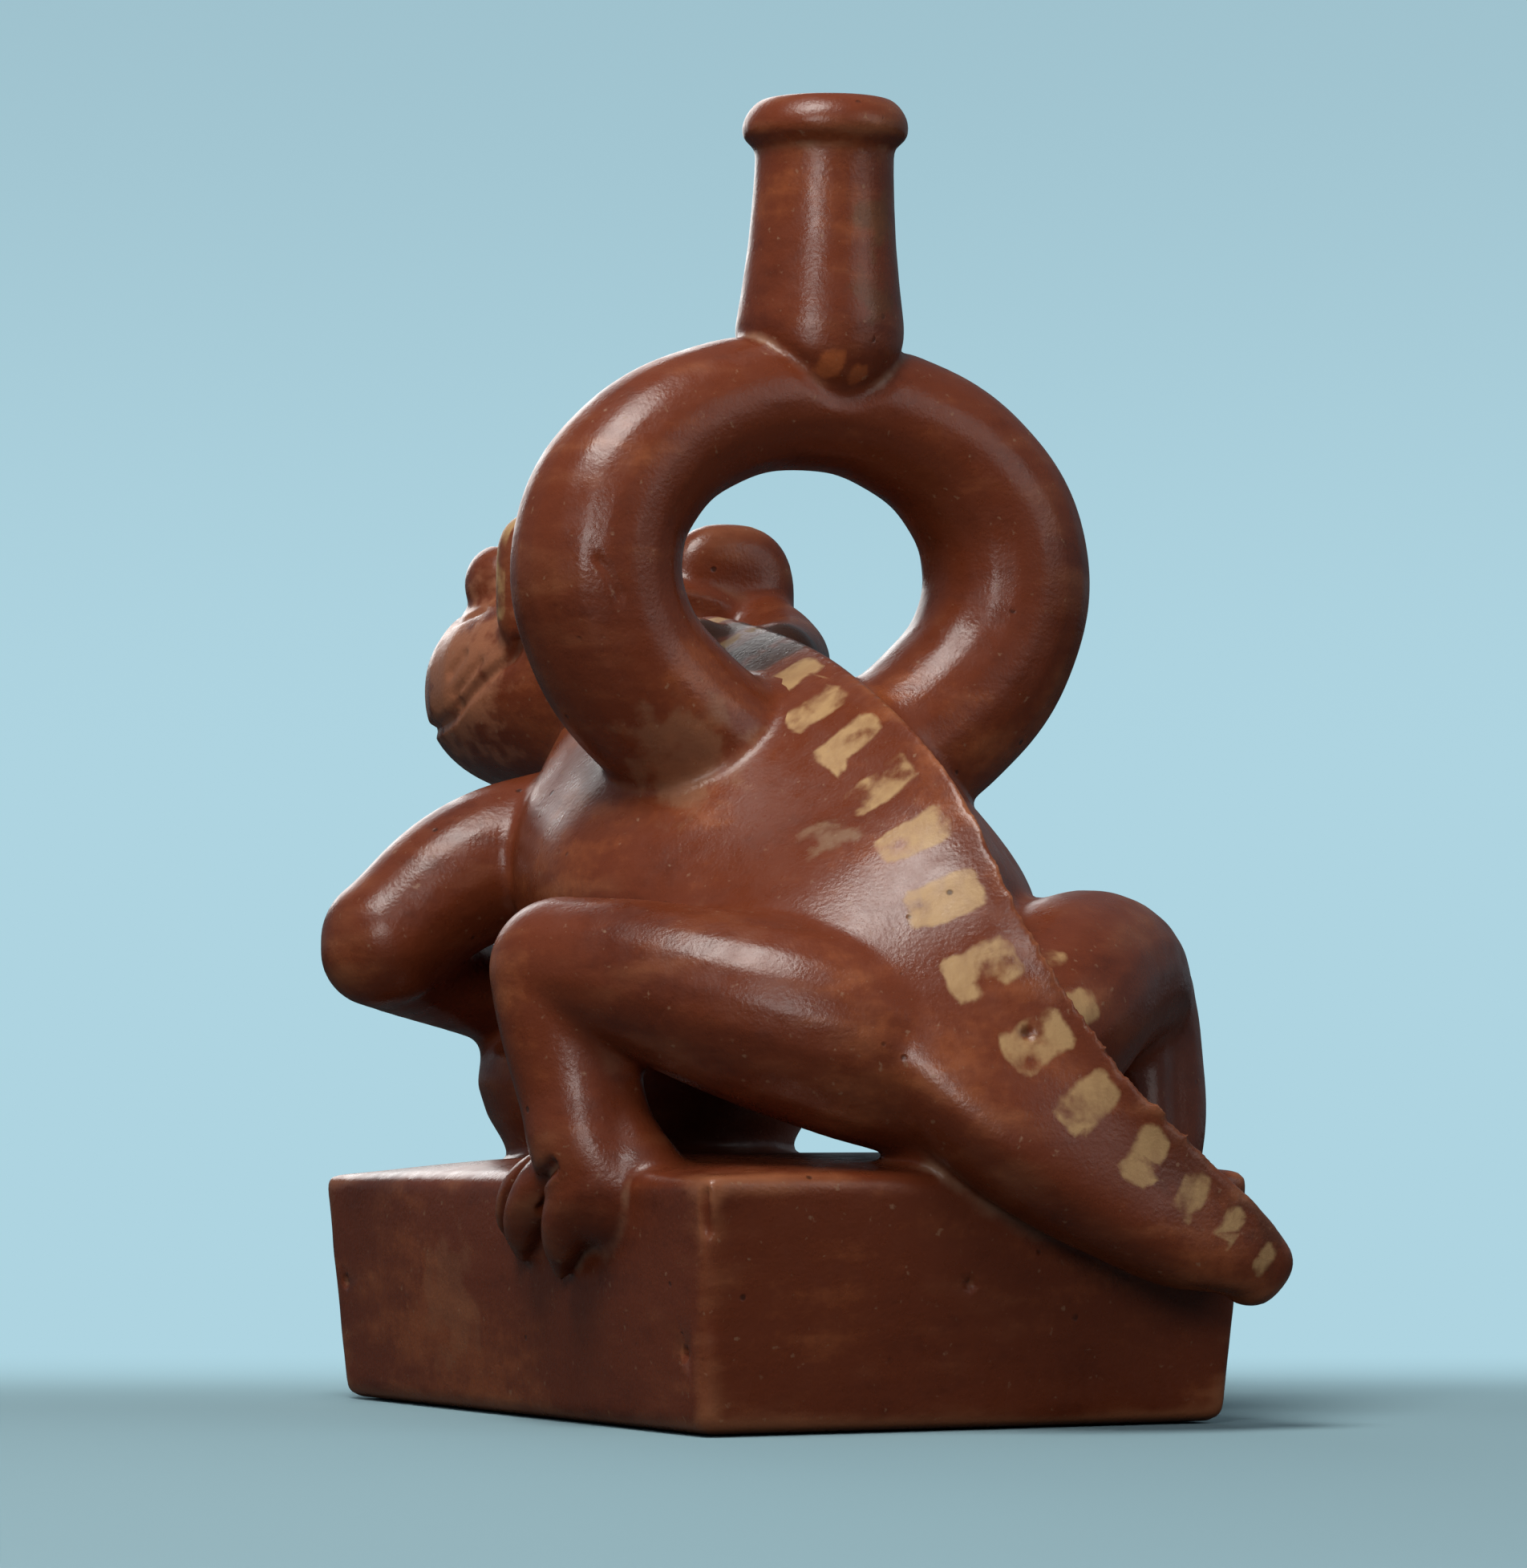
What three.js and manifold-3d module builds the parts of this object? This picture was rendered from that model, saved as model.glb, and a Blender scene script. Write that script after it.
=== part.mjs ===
// Stirrup spout vessel: a lizard crouching on a box-shaped foot, one hollow fired-clay piece.
//
// Millimetres, +Z up. The origin is the centre of the underside. The animal looks along -Y, its left
// side is +X, and its tail hangs over the rear face at +Y and curls to its own right.
//
// Every form is a loft: closed rings of points swept along a few key stations. The forms are joined
// into one body, and the inside is cut away by the same forms made one wall smaller.
import * as THREE from 'three';
import { mergeVertices } from 'three/addons/utils/BufferGeometryUtils.js';
import Module from 'manifold-3d';

const wasm = await Module();
wasm.setup();

// ---- driving dimensions -------------------------------------------------------------------------
const WALL = 4.5;                 // thickness of the clay
const FLOOR = 6;                  // thickness of the underside

// The box: half sizes at the top, how far the sides draw in below, the swell of its faces, and how
// far the top sinks towards the animal's head.
const BOX = {
  halfX: 53.6, halfY: 81, height: 44.6, flareX: 2.2, flareY: 5.5,
  corner: 2, edge: 2, underEdge: 1.5, belly: 1.2, dome: 2.6, dip: 2.2,
};

// The stirrup: an arch about a middle point, rising and falling by different amounts.
const STIRRUP = {
  y: 12.5, halfSpan: 42, rise: 31, fall: 35, springZ: 153, tube: 15.6, crown: 12.6,
  foot: [10, 12.5, 115], fromDegrees: -48, steps: 10,
};

// The spout: where its axis stands, and its outline as level and radius.
const SPOUT = { x: -2.7, y: 12.5, lean: -1.9, tipZ: 181, topZ: 239.8, bore: 8.6, mouth: 11, boreZ: 184 };
const SPOUT_OUTLINE = [
  [176, 7], [184, 12.2], [188, 14.2], [193, 15.5], [198, 15.5], [205, 14.5], [213, 13.6], [222, 13],
  [230.7, 12.7], [231.3, 13.8], [232.6, 15.1], [234.4, 15.4], [236.6, 14.7], [238.6, 13.2], [239.8, 11.2],
];

// Limbs, as points of their middle line and a radius, for the animal's left side.
const LEFT_LEG = {
  thigh: [
    [4, 72, 62, 16.4], [20, 68, 68, 17.6], [37, 57, 74, 16.3], [50, 41, 79, 14.4], [56, 29, 80, 13.3],
  ],
  shin: [
    [56, 29, 80, 13], [55.5, 32, 70, 12.4], [54.5, 35, 58, 11.3], [54, 38.5, 48, 10.8], [50, 40, 42, 11.5],
  ],
  calf: [[51, 39, 74, 7.5], [51.5, 41, 66, 5.5], [51, 42.1, 55, 5.8], [48, 45, 43, 8]],
};
const RIGHT_LEG = {
  thigh: [
    [4, 72, 62, 16.4], [18, 66, 70, 17.5], [32, 55, 77, 17], [46, 43, 78.5, 15.2], [55, 32.5, 75, 13.6],
  ],
  shin: [[55, 32.5, 75, 13.6], [57, 34, 65, 12.6], [55.4, 40, 50, 11.2], [51, 42, 42, 12]],
  calf: [[50, 43, 70, 8], [50, 46, 60, 6.4], [49, 49, 50, 6.2], [47, 50, 43, 7.8]],
};
const TOES = [
  [[50, 44, 45, 7], [54.5, 43, 43.5, 7.2], [57.2, 39.5, 38, 5.8], [56.6, 34.5, 32, 3.6], [55.3, 31.5, 28, 2]],
  [[50, 36, 45, 6.5], [55, 31, 44.5, 6], [57.6, 24, 39.5, 4.8], [57, 18, 34, 3.4], [55.5, 15.5, 31, 2]],
  [[50, 30, 45, 5], [54.5, 21, 44.5, 4.6], [56.8, 14, 40, 3.6], [56.2, 11, 36, 2.6], [55, 10, 33.5, 1.6]],
];
const ARM = {
  upper: [[20, -40, 104, 15.4], [41.7, -41.5, 98.5, 13.9], [58.5, -43, 86, 12.2]],
  fore: [[60.5, -43, 84, 10.4], [46.2, -54.5, 82, 10.2], [27, -65, 76, 9]],
};
const FOLD = [[21, -49, 147, 7], [19.5, -40, 142, 8], [14, -28, 139, 9], [8, -16, 138, 8]];

// Upright forms under the animal, as a centre, a half width and a half depth at each level.
const MOUND = [
  { at: [-2.5, -57, 34], w: 26.5, h: 26 },
  { at: [-2.5, -57, 46], w: 26.8, h: 26.2 },
  { at: [-2.5, -57, 53], w: 31, h: 29.4 },
  { at: [-2.5, -57, 60], w: 33, h: 31 },
  { at: [-2.5, -57, 67], w: 30.6, h: 28.5 },
  { at: [-2.5, -57, 74], w: 15, h: 14 },
];
const CHEST = [
  { at: [0, -52, 60], w: 19.6, h: 18.6 },
  { at: [0, -50, 83], w: 23, h: 21 },
  { at: [0, -44, 106], w: 26.2, h: 23 },
];
const RUMP = { at: [-2.5, 72, 56], size: [16.5, 15.5, 19] };

// The head, from the nape to the blunt snout: centre, half width, half height.
const HEAD = [
  { at: [0, -42, 136], w: 22, h: 17 },
  { at: [0, -57, 136], w: 29.5, h: 21.5 },
  { at: [0, -73, 135.5], w: 33.5, h: 22 },
  { at: [0, -88, 134.5], w: 30.5, h: 20.5 },
  { at: [0, -101, 133.5], w: 23, h: 16 },
  { at: [0, -110, 133], w: 11, h: 8 },
];
const HEAD_SQUARE = 2.2;          // 2 is an oval section, more is squarer

// The two lobes at the nape: middle, power of the outline, and the layers from back to front.
const LOBES = [{ at: [17, -54, 153.5], square: 3.6 }, { at: [-16, -50, 151.8], square: 2.5 }];
const LOBE = { w: 13.6, h: 14.4, layers: [[5.4, 0.55], [3, 0.94], [-2.5, 0.97], [-5, 0.7]] };
const EYE = { at: [20, -76, 155], size: [6.6, 8.2, 7.6] };

// The keeled back and tail. Each station is a point of the ridge, the way the ridge points, how far
// the body's middle lies to the left of the ridge, the half width, the drop from the ridge to the
// widest level and from there to the underside, and the sharpness of the keel.
const BACK = [
  { at: [0, -66, 132], up: [0, -0.10, 1], off: 0, w: 19, drop: 18, under: 18, keel: 0.10 },
  { at: [0, -48, 144], up: [0, -0.12, 1], off: 0, w: 27, drop: 34, under: 34, keel: 0.20 },
  { at: [0, -28, 147], up: [0, 0, 1], off: 0.5, w: 37.5, drop: 44, under: 40, keel: 0.35 },
  { at: [0, -6, 144], up: [0, 0.08, 1], off: 1, w: 42.5, drop: 46, under: 38, keel: 0.42 },
  { at: [0, 16, 138.8], up: [0, 0.18, 1], off: 2.5, w: 44.5, drop: 45, under: 35, keel: 0.48 },
  { at: [0, 36, 131.5], up: [0, 0.26, 1], off: 2, w: 43, drop: 44, under: 31, keel: 0.60 },
  { at: [0, 55, 122.5], up: [0, 0.38, 1], off: 2, w: 38.5, drop: 42, under: 27, keel: 0.70 },
  { at: [-0.5, 74, 109.5], up: [-0.10, 0.62, 1], off: 2, w: 31, drop: 36, under: 24, keel: 0.75 },
  { at: [-4.5, 90, 87], up: [-0.34, 0.90, 0.62], off: 2, w: 22.5, drop: 27, under: 19, keel: 0.80 },
  { at: [-17.5, 98, 64], up: [-0.60, 0.78, 0.46], off: 2, w: 16.5, drop: 20, under: 15, keel: 0.80 },
  { at: [-33.5, 99, 48.8], up: [-0.66, 0.72, 0.50], off: -0.3, w: 15, drop: 16, under: 12, keel: 0.75 },
  { at: [-46, 98, 38.2], up: [-0.62, 0.74, 0.58], off: -1.2, w: 12.6, drop: 12.5, under: 9.5, keel: 0.60 },
  { at: [-53, 96, 31], up: [-0.55, 0.76, 0.64], off: -1.3, w: 8.8, drop: 8.5, under: 6.5, keel: 0.35 },
];
const KEEL = { crest: 0.4, tipReach: 0.75 };

// How much smaller than the outside each part of the hollow is, and which stations it follows.
const HOLLOW = { torso: WALL + 0.6, torsoFrom: 1, torsoTo: 8, head: WALL + 1, headTo: 5, box: WALL + 0.5 };

// How finely each form is faceted: points round a ring, and rings along the path.
const FINE = {
  back: [22, 24], backRoom: [12, 9], head: [16, 8], headRoom: [10, 5], limb: [12, 7], shin: [12, 6],
  calf: [8, 5], toe: [6, 6], arm: [12, 5], fore: [10, 5], fold: [8, 4], lobe: [14, 4], mound: [18, 8],
  moundRoom: [10, 5], chest: [14, 4], chestRoom: [10, 4], stirrup: [16, 27], stirrupRoom: [8, 16],
  spout: 20, bore: 12, rump: [14, 9], eye: [8, 6],
};
const DOME = [0.90, 0.55];        // the rings that round off a limb's end, as shares of its radius

const CLAY = { color: 0x7a3220, roughness: 0.42, metalness: 0 };

// ---- lofts --------------------------------------------------------------------------------------
const vec = (a) => new THREE.Vector3(a[0], a[1], a[2]);

/** Smooth values between key values, through all of them. */
function smooth(values, t) {
  const span = (values.length - 1) * t;
  const i = Math.min(Math.floor(span), values.length - 2);
  const f = span - i;
  const p = (k) => values[Math.max(0, Math.min(values.length - 1, k))];
  const [a, b, c, d] = [p(i - 1), p(i), p(i + 1), p(i + 2)];
  return b + 0.5 * f * (c - a + f * (2 * a - 5 * b + 4 * c - d + f * (3 * (b - c) + d - a)));
}

/** Smooth stations: each named number or vector of the keys is carried through `count` stations. */
function stations(keys, count) {
  const carry = (name, t) => {
    if (!Array.isArray(keys[0][name])) return smooth(keys.map((key) => key[name]), t);
    return vec([0, 1, 2].map((axis) => smooth(keys.map((key) => key[name][axis]), t)));
  };
  return Array.from({ length: count }, (_, i) => {
    const names = Object.keys(keys[0]);
    return Object.fromEntries(names.map((name) => [name, carry(name, i / (count - 1))]));
  });
}

/** The keys of a round limb from rows of x, y, z and radius, for the side of the given sign. */
function round(rows, side = 1) {
  return rows.map(([x, y, z, r]) => ({ at: [side * x, y, z], w: r, h: r }));
}

/** A closed solid from rings of equal count; the first and last ring close on the two end points. */
function skin(rings, apexStart, apexEnd) {
  const sides = rings[0].length;
  const points = rings.flat();
  const start = points.push(apexStart) - 1;
  const end = points.push(apexEnd) - 1;
  const index = [];
  for (let r = 0; r < rings.length - 1; r += 1) {
    for (let s = 0; s < sides; s += 1) {
      const a = r * sides + s;
      const b = r * sides + ((s + 1) % sides);
      index.push(a, b, b + sides, a, b + sides, a + sides);
    }
  }
  const last = (rings.length - 1) * sides;
  for (let s = 0; s < sides; s += 1) {
    const n = (s + 1) % sides;
    index.push(start, n, s, end, last + s, last + n);
  }
  return solid(points, index);
}

/** A manifold solid from points and triangles, turned so that its faces point out. */
function solid(points, index) {
  let volume = 0;
  for (let i = 0; i < index.length; i += 3) {
    const [a, b, c] = [points[index[i]], points[index[i + 1]], points[index[i + 2]]];
    volume += a.dot(new THREE.Vector3().crossVectors(b, c));
  }
  const outward = volume < 0 ? index.slice().reverse() : index;
  return new wasm.Manifold(new wasm.Mesh({
    numProp: 3,
    vertProperties: new Float32Array(points.flatMap((p) => [p.x, p.y, p.z])),
    triVerts: new Uint32Array(outward),
  }));
}

/** A solid from a three.js geometry whose shape is closed. */
function solidOf(geometry) {
  geometry.deleteAttribute('normal');
  geometry.deleteAttribute('uv');
  const merged = mergeVertices(geometry, 1e-4);
  const p = merged.getAttribute('position');
  const point = (i) => new THREE.Vector3(p.getX(i), p.getY(i), p.getZ(i));
  return solid(Array.from({ length: p.count }, (_, i) => point(i)), Array.from(merged.index.array));
}

/** The mean point of a ring. */
function middle(ring) {
  return ring.reduce((sum, p) => sum.add(p), new THREE.Vector3()).divideScalar(ring.length);
}

/** The way the path runs at station i. */
function heading(path, i) {
  const a = path[Math.max(0, i - 1)].at;
  const b = path[Math.min(path.length - 1, i + 1)].at;
  return b.clone().sub(a).normalize();
}

/**
 * An oval of half width w and half height h swept along the keys. `fine` holds the points round a
 * ring and the rings along the path, `domed` which ends are rounded off, `square` the power of the
 * outline, and `inset` how much smaller than its keys the form is made.
 */
function sweep(keys, fine, { up = [0, 0, 1], inset = 0, domed = [true, true], square = 2 } = {}) {
  const [sides, count] = fine;
  const path = stations(keys, count);
  const power = (c) => Math.sign(c) * Math.abs(c) ** (2 / square);
  const ringAt = (i, grow, shift) => {
    const { at, w, h } = path[i];
    const along = heading(path, i);
    const v = vec(up).addScaledVector(along, -vec(up).dot(along)).normalize();
    const u = new THREE.Vector3().crossVectors(along, v);
    return Array.from({ length: sides }, (_, s) => {
      const angle = (2 * Math.PI * s) / sides;
      return at.clone().addScaledVector(along, shift)
        .addScaledVector(u, (w - inset) * grow * power(Math.cos(angle)))
        .addScaledVector(v, (h - inset) * grow * power(Math.sin(angle)));
    });
  };
  const reach = (i) => Math.min(path[i].w, path[i].h) - inset;
  const dome = (i, way) => DOME.map((g) => ringAt(i, g, way * reach(i) * Math.sqrt(1 - g * g)));
  const last = count - 1;
  const rings = [
    ...(domed[0] ? dome(0, -1).reverse() : []),
    ...path.map((_, i) => ringAt(i, 1, 0)),
    ...(domed[1] ? dome(last, 1) : []),
  ];
  const tip = (i, way) => path[i].at.clone().addScaledVector(heading(path, i), way * reach(i));
  const start = domed[0] ? tip(0, -1) : middle(rings[0]);
  const end = domed[1] ? tip(last, 1) : middle(rings.at(-1));
  return skin(rings, start, end);
}

/** The keeled form of the back: a ridge on top, flanks that bulge to the half width, a round belly. */
function keeled(keys, [sides, count], inset = 0) {
  const path = stations(keys, count);
  const half = sides / 2;
  const rings = path.map((station, i) => {
    const along = heading(path, i);
    const v = station.up.clone().addScaledVector(along, -station.up.dot(along)).normalize();
    const u = new THREE.Vector3().crossVectors(v, along).negate();
    const centre = station.at.clone().addScaledVector(v, -station.drop).addScaledVector(u, station.off);
    return Array.from({ length: sides }, (_, s) => {
      const side = s <= half ? 1 : -1;
      const angle = (Math.PI * (s <= half ? s : sides - s)) / half;
      const swell = Math.sin(angle);
      const above = angle < Math.PI / 2;
      const k = above ? station.keel : 0;
      const crest = KEEL.crest * k;
      const across = (station.w - inset) * ((1 - k) * swell + k * swell ** 3);
      const over = (station.drop - inset) * ((1 - crest) * Math.cos(angle) + crest * (1 - swell));
      const rise = above ? over : (station.under - inset) * Math.cos(angle);
      const lean = above ? -station.off * Math.cos(angle) ** 2 : 0;
      return centre.clone().addScaledVector(u, side * across + lean).addScaledVector(v, rise);
    });
  });
  const reach = path.at(-1).w - inset;
  const beyond = heading(path, count - 1);
  const apex = middle(rings.at(-1)).addScaledVector(beyond, reach * KEEL.tipReach);
  const cap = rings.at(-1).map((p) => p.clone().lerp(apex, 0.25).addScaledVector(beyond, reach * 0.3));
  return skin([...rings, cap], middle(rings[0]), apex);
}

/** An oval lump with its middle at `at` and half sizes `size`. */
function lump(at, size, fine) {
  const geometry = new THREE.SphereGeometry(1, fine[0], fine[1]);
  geometry.scale(size[0], size[1], size[2]);
  geometry.translate(at[0], at[1], at[2]);
  return solidOf(geometry);
}

const joined = (parts) => wasm.Manifold.union(parts);

// ---- the box ------------------------------------------------------------------------------------
/** The outline of the box at one level: a rectangle with round corners and slightly bulging sides. */
function boxRing(level, inset, shrink = 0) {
  const draw = 1 - level / BOX.height;
  const hx = BOX.halfX - BOX.flareX * draw - inset - shrink;
  const hy = BOX.halfY - BOX.flareY * draw - inset - shrink;
  const c = BOX.corner;
  const swell = inset > 0 ? 0 : BOX.belly;
  const ring = [];
  for (const [sx, sy, from] of [[1, 1, 0], [-1, 1, 90], [-1, -1, 180], [1, -1, 270]]) {
    for (const step of [0, 45, 90]) {
      const a = THREE.MathUtils.degToRad(from + step);
      ring.push([sx * (hx - c) + c * Math.cos(a), sy * (hy - c) + c * Math.sin(a)]);
    }
    for (const f of [0.4, -0.4]) {
      const alongX = [f * sx * (hx - c), sy * (hy + swell)];
      const alongY = [sx * (hx + swell), f * sy * (hy - c)];
      ring.push(sx * sy > 0 ? alongX : alongY);
    }
  }
  return ring.map(([x, y]) => new THREE.Vector3(x, y, level));
}

/** The height of the box's top over its edge, which sinks towards the head and swells in the middle. */
function sunk(p, level) {
  const dip = (BOX.dip * (1 - p.y / BOX.halfY)) / 2;
  return new THREE.Vector3(p.x, p.y, level - dip);
}

/** The outside of the box. */
function box() {
  const { height, edge, underEdge } = BOX;
  const walls = [[0, underEdge], [underEdge, 0], [height / 2, 0]].map(([z, shrink]) => boxRing(z, 0, shrink));
  const rim = [[height - edge, 0], [height - edge * 0.3, edge * 0.3], [height, edge]];
  const upper = rim.map(([z, shrink]) => boxRing(z, 0, shrink).map((p) => sunk(p, z)));
  const crown = [0.7, 0.35].map((share) => upper.at(-1).map((p) => {
    const level = height + BOX.dome * (1 - share ** 4);
    return sunk(new THREE.Vector3(p.x * share, p.y * share, 0), level);
  }));
  const peak = sunk(new THREE.Vector3(), height + BOX.dome);
  return skin([...walls, ...upper, ...crown], new THREE.Vector3(), peak);
}

/** The hollow of the box. */
function boxRoom() {
  const top = BOX.height - BOX.dip - WALL;
  const rings = [FLOOR, top / 2, top].map((level) => boxRing(level, HOLLOW.box));
  return skin(rings, new THREE.Vector3(0, 0, FLOOR), new THREE.Vector3(0, 0, top));
}

// ---- the animal ---------------------------------------------------------------------------------
/** The skull, the lobes with the folds that run from them to the back, and the eyes. */
function head() {
  const parts = [sweep(HEAD, FINE.head, { square: HEAD_SQUARE })];
  for (const { at, square } of LOBES) {
    const layers = LOBE.layers.map(([back, share]) => ({
      at: [at[0], at[1] + back, at[2]], w: LOBE.w * share, h: LOBE.h * share,
    }));
    parts.push(sweep(layers, FINE.lobe, { domed: [false, false], square }));
  }
  for (const side of [1, -1]) {
    parts.push(sweep(round(FOLD, side), FINE.fold, { domed: [true, false] }));
    parts.push(lump([side * EYE.at[0], EYE.at[1], EYE.at[2]], EYE.size, FINE.eye));
  }
  return joined(parts);
}

/** A hind leg with its three toes over the edge of the box. */
function leg(limb, side) {
  const hanging = { up: [0, 1, 0], domed: [false, true] };
  return joined([
    sweep(round(limb.thigh, side), FINE.limb, { domed: [false, true] }),
    sweep(round(limb.shin, side), FINE.shin, hanging),
    sweep(round(limb.calf, side), FINE.calf, hanging),
    ...TOES.map((toe) => sweep(round(toe, side), FINE.toe, hanging)),
  ]);
}

/** A bent arm whose hand rests on the mound. */
function arm(side) {
  return joined([
    sweep(round(ARM.upper, side), FINE.arm, { domed: [false, true] }),
    sweep(round(ARM.fore, side), FINE.fore, { domed: [false, true] }),
  ]);
}

/** A form that stands upright: the mound or the chest, or the room inside it. */
function upright(keys, fine, inset = 0) {
  return sweep(keys, fine, { up: [0, 1, 0], inset, domed: [false, false] });
}

// ---- the stirrup and the spout ------------------------------------------------------------------
/** The stirrup's middle line: two feet on the back, carried round in one arch. */
function stirrupKeys() {
  const { y, halfSpan, rise, fall, springZ, tube, crown, foot, fromDegrees, steps } = STIRRUP;
  const footAt = (side) => ({ at: [side * foot[0], foot[1], foot[2]], w: tube * 0.98, h: tube * 0.98 });
  const arch = Array.from({ length: steps + 1 }, (_, i) => {
    const degrees = fromDegrees + (i * (180 - 2 * fromDegrees)) / steps;
    const a = THREE.MathUtils.degToRad(degrees);
    const height = (Math.sin(a) > 0 ? rise : fall) * Math.sin(a);
    const r = tube - (tube - crown) * Math.max(0, Math.sin(a)) ** 2;
    return { at: [halfSpan * Math.cos(a), y, springZ + height], w: r, h: r };
  });
  return [footAt(1), ...arch, footAt(-1)];
}

/** The stirrup, or the room inside it. */
function stirrup(fine, inset = 0) {
  return sweep(stirrupKeys(), fine, { up: [0, 1, 0], inset, domed: [false, false] });
}

/** A turned form on the spout's axis, which stands a little out of plumb. */
function turned(profile, sides) {
  const outline = [[0, profile[0][0]], ...profile.map(([z, r]) => [r, z]), [0, profile.at(-1)[0]]];
  const geometry = new THREE.LatheGeometry(outline.map(([r, z]) => new THREE.Vector2(r, z)), sides);
  geometry.rotateX(Math.PI / 2);
  const lean = SPOUT.lean / (SPOUT.topZ - SPOUT.tipZ);
  geometry.translate(0, 0, -SPOUT.tipZ);
  geometry.applyMatrix4(new THREE.Matrix4().makeShear(0, 0, 0, 0, lean, 0));
  geometry.translate(SPOUT.x, SPOUT.y, SPOUT.tipZ);
  return solidOf(geometry);
}

/** The channel of the spout, which opens out at the mouth. */
function spoutBore() {
  const { bore, mouth, boreZ, topZ } = SPOUT;
  const flare = [[topZ - 6, bore], [topZ - 2, bore + 1], [topZ + 0.2, mouth], [topZ + 3, mouth]];
  return turned([[boreZ, bore], ...flare], FINE.bore);
}

// ---- assembly -----------------------------------------------------------------------------------
/** The whole vessel: every form joined, less the room inside. */
function vessel() {
  const outside = joined([
    box(), keeled(BACK, FINE.back), lump(RUMP.at, RUMP.size, FINE.rump), head(),
    upright(MOUND, FINE.mound), upright(CHEST, FINE.chest),
    leg(LEFT_LEG, 1), leg(RIGHT_LEG, -1), arm(1), arm(-1),
    stirrup(FINE.stirrup), turned(SPOUT_OUTLINE, FINE.spout),
  ]);
  const inside = joined([
    boxRoom(),
    keeled(BACK.slice(HOLLOW.torsoFrom, HOLLOW.torsoTo), FINE.backRoom, HOLLOW.torso),
    sweep(HEAD.slice(0, HOLLOW.headTo), FINE.headRoom, { inset: HOLLOW.head }),
    upright(MOUND, FINE.moundRoom, WALL),
    upright(CHEST, FINE.chestRoom, WALL),
    stirrup(FINE.stirrupRoom, WALL),
    spoutBore(),
  ]);
  return outside.subtract(inside);
}

/** A three.js mesh of a solid. */
function meshOf(part, name, material) {
  const { vertProperties, triVerts } = part.getMesh();
  const geometry = new THREE.BufferGeometry();
  geometry.setAttribute('position', new THREE.BufferAttribute(new Float32Array(vertProperties), 3));
  geometry.setIndex(new THREE.BufferAttribute(new Uint32Array(triVerts), 1));
  geometry.computeVertexNormals();
  const mesh = new THREE.Mesh(geometry, new THREE.MeshStandardMaterial(material));
  mesh.name = name;
  return mesh;
}

const model = new THREE.Group();
model.add(meshOf(vessel(), 'vessel', CLAY));

export default model;
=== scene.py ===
"""A stirrup spout vessel: a burnished clay lizard that crouches on a box-shaped foot."""

import logging
import math
from dataclasses import dataclass, field
from enum import Enum

import bpy
import numpy as np
from mathutils import Matrix, Vector


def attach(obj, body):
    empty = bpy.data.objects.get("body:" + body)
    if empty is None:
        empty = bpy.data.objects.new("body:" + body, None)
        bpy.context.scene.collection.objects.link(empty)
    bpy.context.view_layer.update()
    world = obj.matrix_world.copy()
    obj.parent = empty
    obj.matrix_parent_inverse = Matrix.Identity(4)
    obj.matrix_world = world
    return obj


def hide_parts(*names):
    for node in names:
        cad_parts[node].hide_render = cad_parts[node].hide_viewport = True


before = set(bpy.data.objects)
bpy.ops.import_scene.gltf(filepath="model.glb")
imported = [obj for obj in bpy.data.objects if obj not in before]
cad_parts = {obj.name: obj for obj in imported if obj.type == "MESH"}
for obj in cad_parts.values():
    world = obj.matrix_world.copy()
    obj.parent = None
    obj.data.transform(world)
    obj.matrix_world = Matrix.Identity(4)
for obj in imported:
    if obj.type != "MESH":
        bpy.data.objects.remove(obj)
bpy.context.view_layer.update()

LOG = logging.getLogger("vessel")
MM = 0.001
BODY = "root"
NODE = "vessel"

Point = tuple[float, float, float]
Path = list[tuple[Point, float]]
Ring = tuple[Point, float, float]
Line = tuple[Point, ...]


class Side(Enum):
    """The animal's own left and right."""

    LEFT = 1
    RIGHT = -1


# ---- short calls for the modelling steps ---------------------------------------------------------
def metres(point: Point) -> Vector:
    """Return a point given in millimetres as a vector in metres."""
    return Vector(point) * MM


def deselect() -> None:
    """Leave object mode with nothing selected."""
    if bpy.context.object and bpy.context.object.mode != "OBJECT":
        bpy.ops.object.mode_set(mode="OBJECT")
    bpy.ops.object.select_all(action="DESELECT")


def activate(piece: bpy.types.Object) -> None:
    """Select one object alone and make it the active one."""
    deselect()
    piece.select_set(True)
    bpy.context.view_layer.objects.active = piece


def named(name: str) -> bpy.types.Object:
    """Name the object that an operator has just made, and return it."""
    piece = bpy.context.object
    piece.name = name
    piece.data.name = name
    return piece


def edit_faces(piece: bpy.types.Object, chosen: list[int]) -> None:
    """Enter edit mode with only the faces of the given indices selected."""
    activate(piece)
    bpy.ops.object.mode_set(mode="EDIT")
    bpy.ops.mesh.select_mode(type="FACE")
    bpy.ops.mesh.select_all(action="DESELECT")
    bpy.ops.object.mode_set(mode="OBJECT")
    for index in chosen:
        piece.data.polygons[index].select = True
    bpy.ops.object.mode_set(mode="EDIT")


def join(pieces: list[bpy.types.Object], name: str) -> bpy.types.Object:
    """Join several meshes into one object at the origin.

    Args:
        pieces: The meshes to join.
        name: The joined object's name.

    Returns:
        The joined object, with its transform applied.
    """
    deselect()
    for piece in pieces:
        piece.select_set(True)
    bpy.context.view_layer.objects.active = pieces[0]
    bpy.ops.object.join()
    bpy.ops.object.transform_apply(location=True, rotation=True, scale=True)
    return named(name)


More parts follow.
